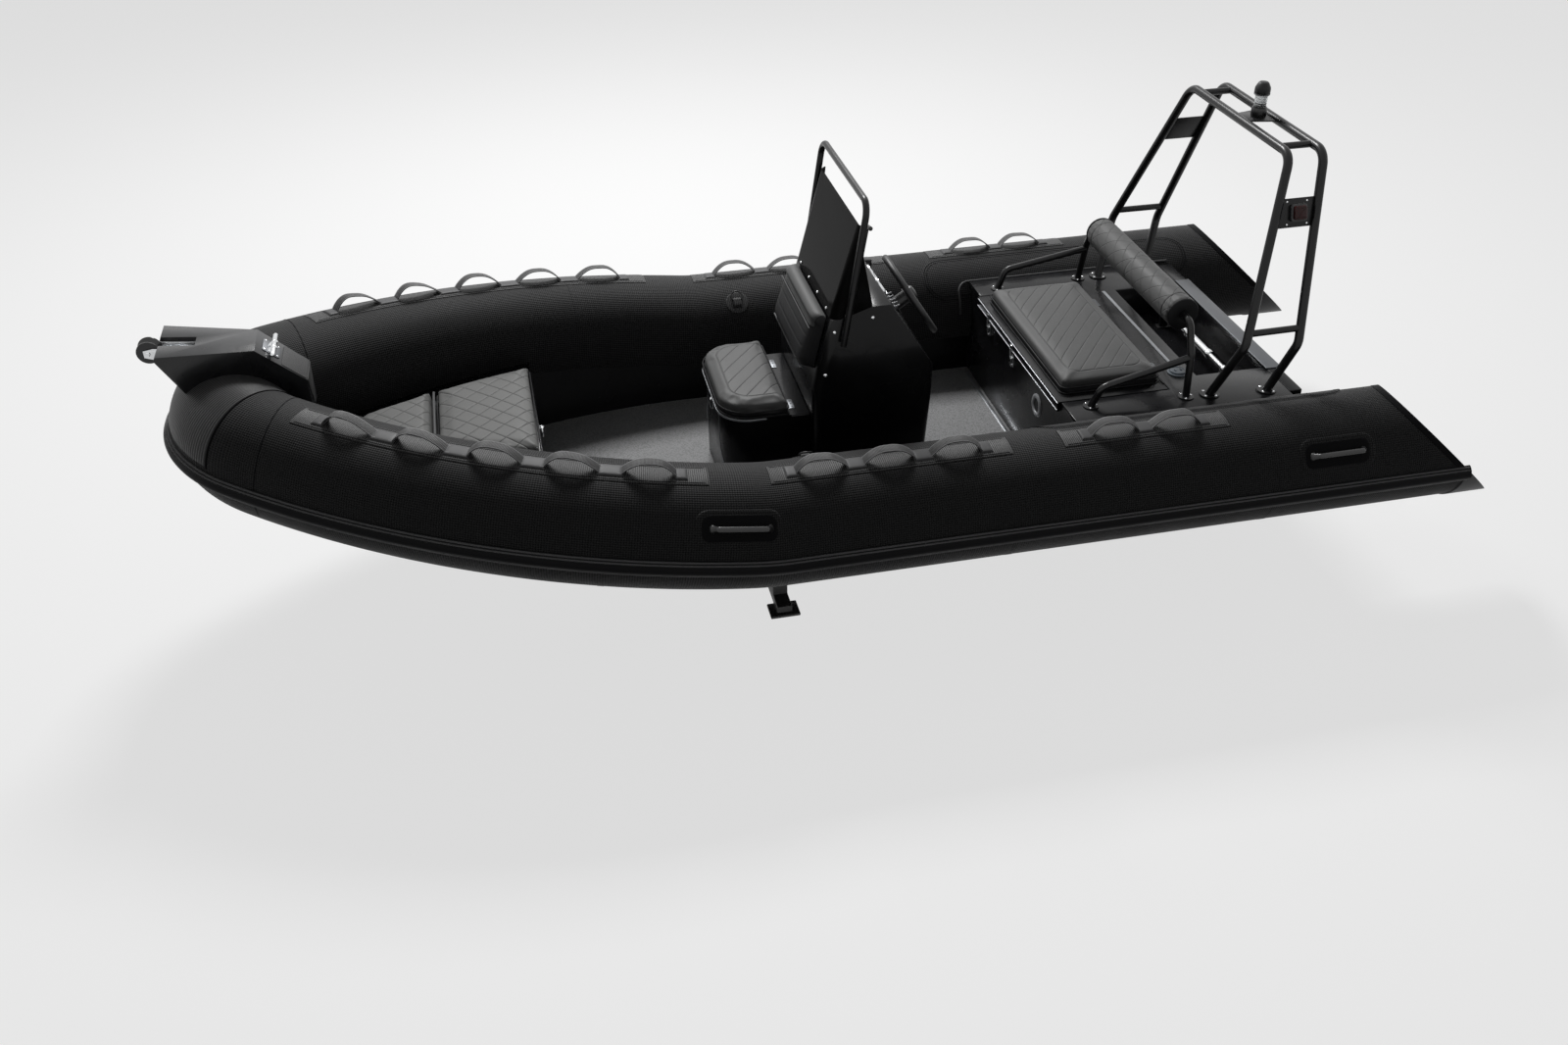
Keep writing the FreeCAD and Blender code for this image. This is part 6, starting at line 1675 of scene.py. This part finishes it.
gauze_outline = [(-0.0005, POLE), (-0.0005, 0.030), (0.0025, 0.030), (0.0025, POLE)]
piece("vent_gauze", turned(gauze_outline, vent, (1, 0, 0), 48), dark_gauze, "metal_black")

# %% Hinge leaves
leaves = []
for node, half in (("helm_seat_lid", 0.30), ("front_seat_lid", 0.17)):
    low, high = span(node)
    z = high[2] - 0.0037 if node == "helm_seat_lid" else low[2] - 0.0004
    x = low[0] - 0.012
    for y in (-half, half):
        leaves.append(plate((0.026, 0.070, 0.004), (0.0022, 0.0006), (x, y, z)))
        for dy in (-0.022, 0.0, 0.022):
            leaves.append(dome_screw((x - 0.002, y + dy, z + 0.0022), up, 0.0036, 0.0014))
piece("hinge_leaves", joined(*leaves), dull_alloy, "stainless")

# %% [markdown]
# ## Stern gear
# The steering ram is a bright rod in two posts, with a barrel and clamp rings. The filler is a
# blue-grey cap with two finger lugs. Both are turned shapes.

# %% Ram and filler
low, high = span("steering_ram")
ram = np.array([(low[0] + high[0]) / 2, 0, AXIS_Z + 0.100])
side_axis = (0, 1, 0)
POST_Y = (-0.280, 0.280)
rod_outline = [(-0.300, POLE), (-0.300, 0.009), (-0.298, 0.011), (0.298, 0.011), (0.300, 0.009),
               (0.300, POLE)]
barrel_outline = [(-0.060, 0.0110), (-0.060, 0.0185), (-0.057, 0.020), (-0.036, 0.020),
                  (-0.034, 0.0175), (0.134, 0.0175), (0.136, 0.020), (0.157, 0.020),
                  (0.160, 0.0185), (0.160, 0.0110)]
clamp_outline = [(-0.011, 0.011), (-0.011, 0.0145), (-0.009, 0.016), (0.009, 0.016),
                 (0.011, 0.0145), (0.011, 0.011)]
rods = [turned(rod_outline, ram, side_axis), turned(barrel_outline, ram, side_axis)]
posts = []
POST_LEVELS = [(0.0006, 0), (0, 0.001), (0, 0.066), (0.002, 0.068)]
for y in POST_Y:
    rods.append(turned(clamp_outline, ram + [0, y, 0], side_axis))
    foot = at(0.862, y, 0.020)
    posts.append(slab(square_round(0.036, 0.016, 0.004), POST_LEVELS, foot))
    posts.append(plate((0.060, 0.040, 0.006), (0.005, 0.001), foot))
piece("ram_rod", joined(*rods), bright_steel, "stainless", "steering_ram")
piece("ram_posts", joined(*posts), painted_pipe, "metal_black")

low, high = span("filler_cap")
filler = np.array([(low[0] + high[0]) / 2, (low[1] + high[1]) / 2, low[2]])
flange_outline = [(0, POLE), (0, 0.0418), (0.003, 0.042), (0.005, 0.040), (0.0052, 0.0345),
                  (0.0035, 0.0335), (0.0035, POLE)]
filler_flange = turned(flange_outline, filler, up, 48)
piece("filler_flange", filler_flange, cap_blue_grey, "filler_pale", "filler_cap")
lid_outline = [(0.001, POLE), (0.001, 0.0325), (0.0095, 0.0325), (0.0115, 0.0305),
               (0.0118, 0.024), (0.0100, 0.0225), (0.0100, POLE)]
lid = [turned(lid_outline, filler, up, 48)]
for side in (-0.012, 0.012):
    lid.append(plate((0.009, 0.014, 0.004, 3), (0.004, 0.0012), filler + [side, 0, 0.0092]))
piece("filler_lid", joined(*lid), cap_blue_grey, "filler_pale")

# %% [markdown]
# ## Bow hardware
# The cleat is stainless: two posts through a base plate on the ramp, with cross rods whose ends are
# rounded. The roller is black rubber with a bright hub on its pin.

# %% Cleat
low, high = span("mooring_cleat")
bar = np.array([(low[0] + high[0]) / 2, 0, high[2] - 0.017])
nose_x = span("tube_port")[1][0]
NOSE_RISE = 0.237843
NOSE_TOP = AXIS_Z + NOSE_RISE + TUBE_R
ramp_foot = np.array([nose_x - 0.516, 0, NOSE_TOP - 0.063])
ramp_top = np.array([nose_x - 0.359, 0, NOSE_TOP + 0.078])
ramp_run = unit(ramp_top - ramp_foot)
ramp_out = np.array([-ramp_run[2], 0, ramp_run[0]])
on_ramp = ramp_foot + ramp_run * ((bar - ramp_foot) @ ramp_run)
base_foot = on_ramp - ramp_out * 0.001
cleat_base = plate((0.070, 0.090, 0.010), (0.005, 0.0015), base_foot, ramp_run, (0, 1, 0))
piece("cleat_base", cleat_base, dull_alloy, "stainless")
bar_outline = np.array([(-0.086, POLE), (-0.0855, 0.004), (-0.083, 0.0075), (-0.078, 0.009),
                        (0.078, 0.009), (0.083, 0.0075), (0.0855, 0.004), (0.086, POLE)])
bar_rise = float((bar - on_ramp) @ ramp_out)
cleat_parts = [turned(bar_outline, bar, side_axis, 20)]
lower_bar = on_ramp + ramp_out * bar_rise * 0.55
cleat_parts.append(turned(bar_outline * [0.55, 0.72], lower_bar, side_axis, 16))
post_outline = [(0, 0.015), (0.004, 0.0125), (bar_rise, 0.0105), (bar_rise + 0.006, 0.009),
                (bar_rise + 0.009, POLE)]
for y in (-0.022, 0.022):
    foot = on_ramp + ramp_out * 0.003 + [0, y, 0]
    cleat_parts.append(turned(post_outline, foot, ramp_out, 20))
    for up_ramp in (-0.025, 0.025):
        place = on_ramp + ramp_out * 0.0035 + ramp_run * up_ramp + [0, y * 1.6, 0]
        cleat_parts.append(dome_screw(place, ramp_out, 0.0048))
piece("cleat_set", joined(*cleat_parts), bright_steel, "stainless", "mooring_cleat")

# %% Anchor roller
low, high = span("anchor_roller")
hub = (low + high) / 2
R = (high[2] - low[2]) / 2
groove_half = [(0, R - 0.014), (0.006, R - 0.012), (0.0175, R - 0.001), (0.019, R), (0.0225, R),
               (0.024, R - 0.0015), (0.024, 0.0062)]
grooved = [(-along_it, radius) for along_it, radius in groove_half[:0:-1]] + groove_half
roller_tyre = turned_ring(grooved, hub, side_axis, 48)
piece("roller_tyre", roller_tyre, moulded_rubber, "rubber_black", "anchor_roller",
      body="anchor_roller")
nut_outline = [(0, POLE), (0, 0.0085), (0.0035, 0.0085), (0.0045, 0.007), (0.0048, POLE)]
nuts = [turned(nut_outline, hub + [0, side * 0.0305, 0], (0, side, 0), 6) for side in (1, -1)]
piece("roller_nuts", joined(*nuts), bright_steel, "stainless")

# %% [markdown]
# ## Lights
# Side lights sit on the arch's plates: a square case in a pale frame, red to port and green to
# starboard. The all-round light is a turned base, a clear lens with rings, and a cap.


# %% Side lights
def lamp_box(side):
    """One side light's box, from its node's own points: its middle, the way it faces, its two
    other edges' directions, and its depth."""
    co = points_of(nodes["side_lights"].data)
    co = np.unique(np.round(co[co[:, 1] * side > 0], 5), axis=0)
    from_corner = co - co[0]
    edges = from_corner[np.argsort(np.linalg.norm(from_corner, axis=1))][1:4]
    lengths = np.linalg.norm(edges, axis=1)
    deep = unit(edges[np.argmin(lengths)])
    deep = deep if deep[1] * side > 0 else -deep
    others = np.delete(edges / lengths[:, None], np.argmin(lengths), 0)
    return co.mean(0), deep, others, lengths.min()


side_cases, side_frames, rivets = [], [], []
for side, lens, name in ((1, red_lens, "port"), (-1, green_lens, "starboard")):
    middle, deep, others, depth = lamp_box(side)
    wide = others[np.argmax(np.abs(others @ up))]
    plane = (wide, np.cross(deep, wide))
    back = middle - deep * depth / 2
    case_levels = [(0.001, 0), (0, 0.001), (0, depth * 0.55), (0.003, depth * 0.58)]
    side_cases.append(slab(square_round(0.062, 0.062, 0.007), case_levels, back, *plane))
    frame_levels = [(0.001, 0), (0, 0.001), (0, 0.004), (0.0015, 0.0052)]
    frame_ring = square_round(0.0625, 0.0625, 0.008)
    side_frames.append(slab(frame_ring, frame_levels, back + deep * depth * 0.30, *plane))
    lens_levels = [(0, 0), (0, depth * 0.34), (0.002, depth * 0.39), (0.009, depth * 0.44)]
    glass_outline = square_round(0.050, 0.050, 0.008)
    glass = slab(glass_outline, lens_levels, back + deep * depth * 0.56, *plane)
    piece("side_lens_" + name, glass, lens, "lamp_black")
    for a in (-0.041, 0.041):
        for b in (-0.040, 0.040):
            place = back + deep * 0.0002 + others[0] * a + others[1] * b
            rivets.append(dome_screw(place, deep, 0.0038, 0.0018))
piece("side_light_cases", joined(*side_cases), lamp_case, "lamp_black", "side_lights")
piece("side_light_frames", joined(*side_frames), pale_plastic, "filler_pale")
piece("plate_rivets", joined(*rivets), bright_steel, "stainless")

# %% All-round light
low, high = span("all_round_light")
lamp = np.array([(low[0] + high[0]) / 2, 0, low[2]])
base = [(0, POLE), (0, 0.0292), (0.002, 0.030), (0.028, 0.030), (0.034, 0.0275),
        (0.034, 0.0242), (0.040, 0.0238), (0.040, POLE)]
piece("mast_light_base", turned(base, lamp, up, 40), lamp_case, "lamp_black", "all_round_light")
lens_z = np.linspace(0.040, 0.084, 45)
wavy = 0.0232 + 0.0008 * np.cos((lens_z - 0.040) / 0.044 * 2 * np.pi * 5)
lens_outline = [(0.040, POLE), *zip(lens_z, wavy), (0.084, POLE)]
piece("mast_light_lens", turned(lens_outline, lamp, up, 40), clear_lens, "filler_pale")
cap = [(0.083, POLE), (0.083, 0.0285), (0.085, 0.030), (0.105, 0.030), (0.112, 0.0285),
       (0.127, 0.0205), (0.1305, 0.0165), (0.132, 0.010), (0.132, POLE)]
piece("mast_light_cap", turned(cap, lamp, up, 40), tip_moulding, "tip_grey")
band = [(0.0835, 0.0300), (0.0835, 0.0304), (0.0885, 0.0304), (0.0885, 0.0300)]
piece("mast_light_band", turned_ring(band, lamp, up, 40), pale_plastic, "filler_pale")

# %% Wheel hub
WHEEL_LIFT = 0.0765
wheel_middle = dash_top + dash_down * 0.190 + dash_out * WHEEL_LIFT
cap_outline = [(0.010, POLE), (0.010, 0.030), (0.016, 0.029), (0.021, 0.024), (0.024, 0.012),
               (0.0245, POLE)]
hub_cap = turned(cap_outline, wheel_middle, dash_out, 36)
piece("wheel_hub_cap", hub_cap, lamp_case, "wheel_black", body="steering_wheel")
spoke_screws = []
for turn in np.radians([-30, 90, 210]):
    arm = np.cos(turn) * -dash_down + np.sin(turn) * np.array([0, 1.0, 0])
    for out_by in (0.052, 0.138):
        place = wheel_middle + arm * out_by + dash_out * 0.0034
        spoke_screws.append(dome_screw(place, dash_out, 0.0045, 0.002))
piece("wheel_screws", joined(*spoke_screws), bright_steel, "stainless", body="steering_wheel")

# %% [markdown]
# ## Flaps, beads and small trims
# Where the helm module meets the tubes, a flap of tube cloth covers the joint. It is a patch with
# round ends and two sewn lines just inside its edge, and the moulding's own rim shows below it as a
# pale bead that turns down at the module's front. The patch maker draws the flap; the lines are
# thin cords carried along the same outline.


# %% Cords that follow the tube's skin
def cord_on_skin(s, angle, lift, section, side=1, closed=False):
    """A section carried along distances and angles on the tube. Its up is the tube's own radius."""
    path = on_skin(s, angle, TUBE_R + lift)
    middle, _, _, _ = along(s)
    points, faces = swept(path, section, up=path - middle, closed=closed)
    return points * [1, side, 1], faces


def evenly(outline, count):
    """A closed outline with its points spread evenly by length."""
    ring = np.concatenate([outline, outline[:1]])
    steps = run_length(ring)
    wanted = np.linspace(0, steps[-1], count, endpoint=False)
    return np.stack([np.interp(wanted, steps, ring[:, i]) for i in (0, 1)], 1)


# %% Deck flaps and their beads
FLAP_MIDDLE = 1.225
FLAP_ANGLE = np.radians(129.0)
flap_outline = evenly(square_round(1.26, 0.215, 0.098, 14), 220)
flaps, flap_lines, beads = [], [], []
turn_down = np.linspace(0, np.pi / 2, 12)[1:]
bead_s = np.concatenate([np.linspace(0.70, 1.655, 60), 1.655 + 0.045 * np.sin(turn_down),
                         [1.700, 1.700]])
bead_a = np.concatenate([np.full(60, 136.2), 136.2 + 11.4 * (1 - np.cos(turn_down)),
                         [160.0, 172.0]])
for side in (1, -1):
    flaps.append(outlined_skin(flap_outline, FLAP_MIDDLE, FLAP_ANGLE, PATCH_T, side))
    for size in (0.008, 0.020):
        ring = inset_outline(flap_outline, size)
        flap_lines.append(cord_on_skin(FLAP_MIDDLE + ring[:, 0], FLAP_ANGLE + ring[:, 1] / TUBE_R,
                                       PATCH_T, circle(0.0012, 6), side, closed=True))
    bead_turn = np.radians(bead_a)
    beads.append(cord_on_skin(bead_s, bead_turn, 0.0052, circle(0.0052, 12), side))
skin_piece("deck_flaps", flaps, tube_cloth, "tube_fabric")
piece("deck_flap_lines", joined(*flap_lines), seam_tape, "rubber_black")
piece("deck_rim_beads", joined(*beads), flap_bead, "rubber_black")

# %% [markdown]
# The bow step's ramp is covered with ribbed rubber for grip, and so is its aft face. Both are
# slabs in the plane of what they lie on, and their UV is taken across the way their ribs run.


# %% Ribbed mats on the bow step
def ribbed_mat(name, outline, origin, x_axis, y_axis):
    """A thin slab whose ribs run along its x axis: its UV's first number runs across them."""
    points, faces = slab(outline, eased(0.0022, 0.0008), origin, x_axis, y_axis)
    along_ribs = np.cross(y_axis, np.cross(x_axis, y_axis))
    uv = np.stack([points @ y_axis, points @ along_ribs], 1)
    piece(name, (points, faces), ribbed_pad, "patch_ribbed", uv=uv)


mat_middle = ramp_foot + ramp_run * 0.052
ribbed_mat("ramp_mat", square_round(0.104, 0.150, 0.010), mat_middle, ramp_run, (0, 1, 0))
horn = np.array([[-0.018, -0.128], [0.018, -0.128], [0.040, -0.080], [0.066, -0.020], [0.070, 0.0],
                 [-0.070, 0.0], [-0.066, -0.020], [-0.040, -0.080]])
ribbed_mat("step_heel_patch", horn, ramp_foot - [0, 0, 0.003], (0, -1, 0), (0, 0, 1))

# %% Bow pad piping, front seat edge lines
low, high = span("bow_cushion_aft")
fore_low, _ = span("bow_cushion_fore")
seam_x = (high[0] + fore_low[0]) / 2
half = edge_of_node("bow_cushion_fore", np.array([fore_low[0] + 0.004]))[0] - 0.006
cord_y = np.linspace(-half, half, 41)
cord_z = high[2] + 0.0005 - 0.010 * np.abs(cord_y / half) ** 8
seam_cord = swept(np.column_stack([np.full(41, seam_x), cord_y, cord_z]), circle(0.0052, 12))
piece("bow_seam_piping", seam_cord, flap_bead, "vinyl_grey")

base_low, base_high = span("front_seat_base")
CORNER_R = 0.113
LINE_R = CORNER_R + 0.0012
share = np.linspace(0, 1, 40)
turn = np.radians(-12 + 78 * share ** 2.2)
edge_line = np.column_stack([base_high[0] - CORNER_R + LINE_R * np.cos(turn),
                             base_high[1] - CORNER_R + LINE_R * np.sin(turn),
                             base_high[2] - 0.020 - (base_high[2] - base_low[2] - 0.040) * share])
outward = np.column_stack([np.cos(turn), np.sin(turn), np.zeros(40)])
bead = swept(edge_line, square_round(0.007, 0.0036, 0.0015, 2), up=outward)
piece("front_seat_edge_lines", mirrored(bead), brushed_alloy, "stainless")
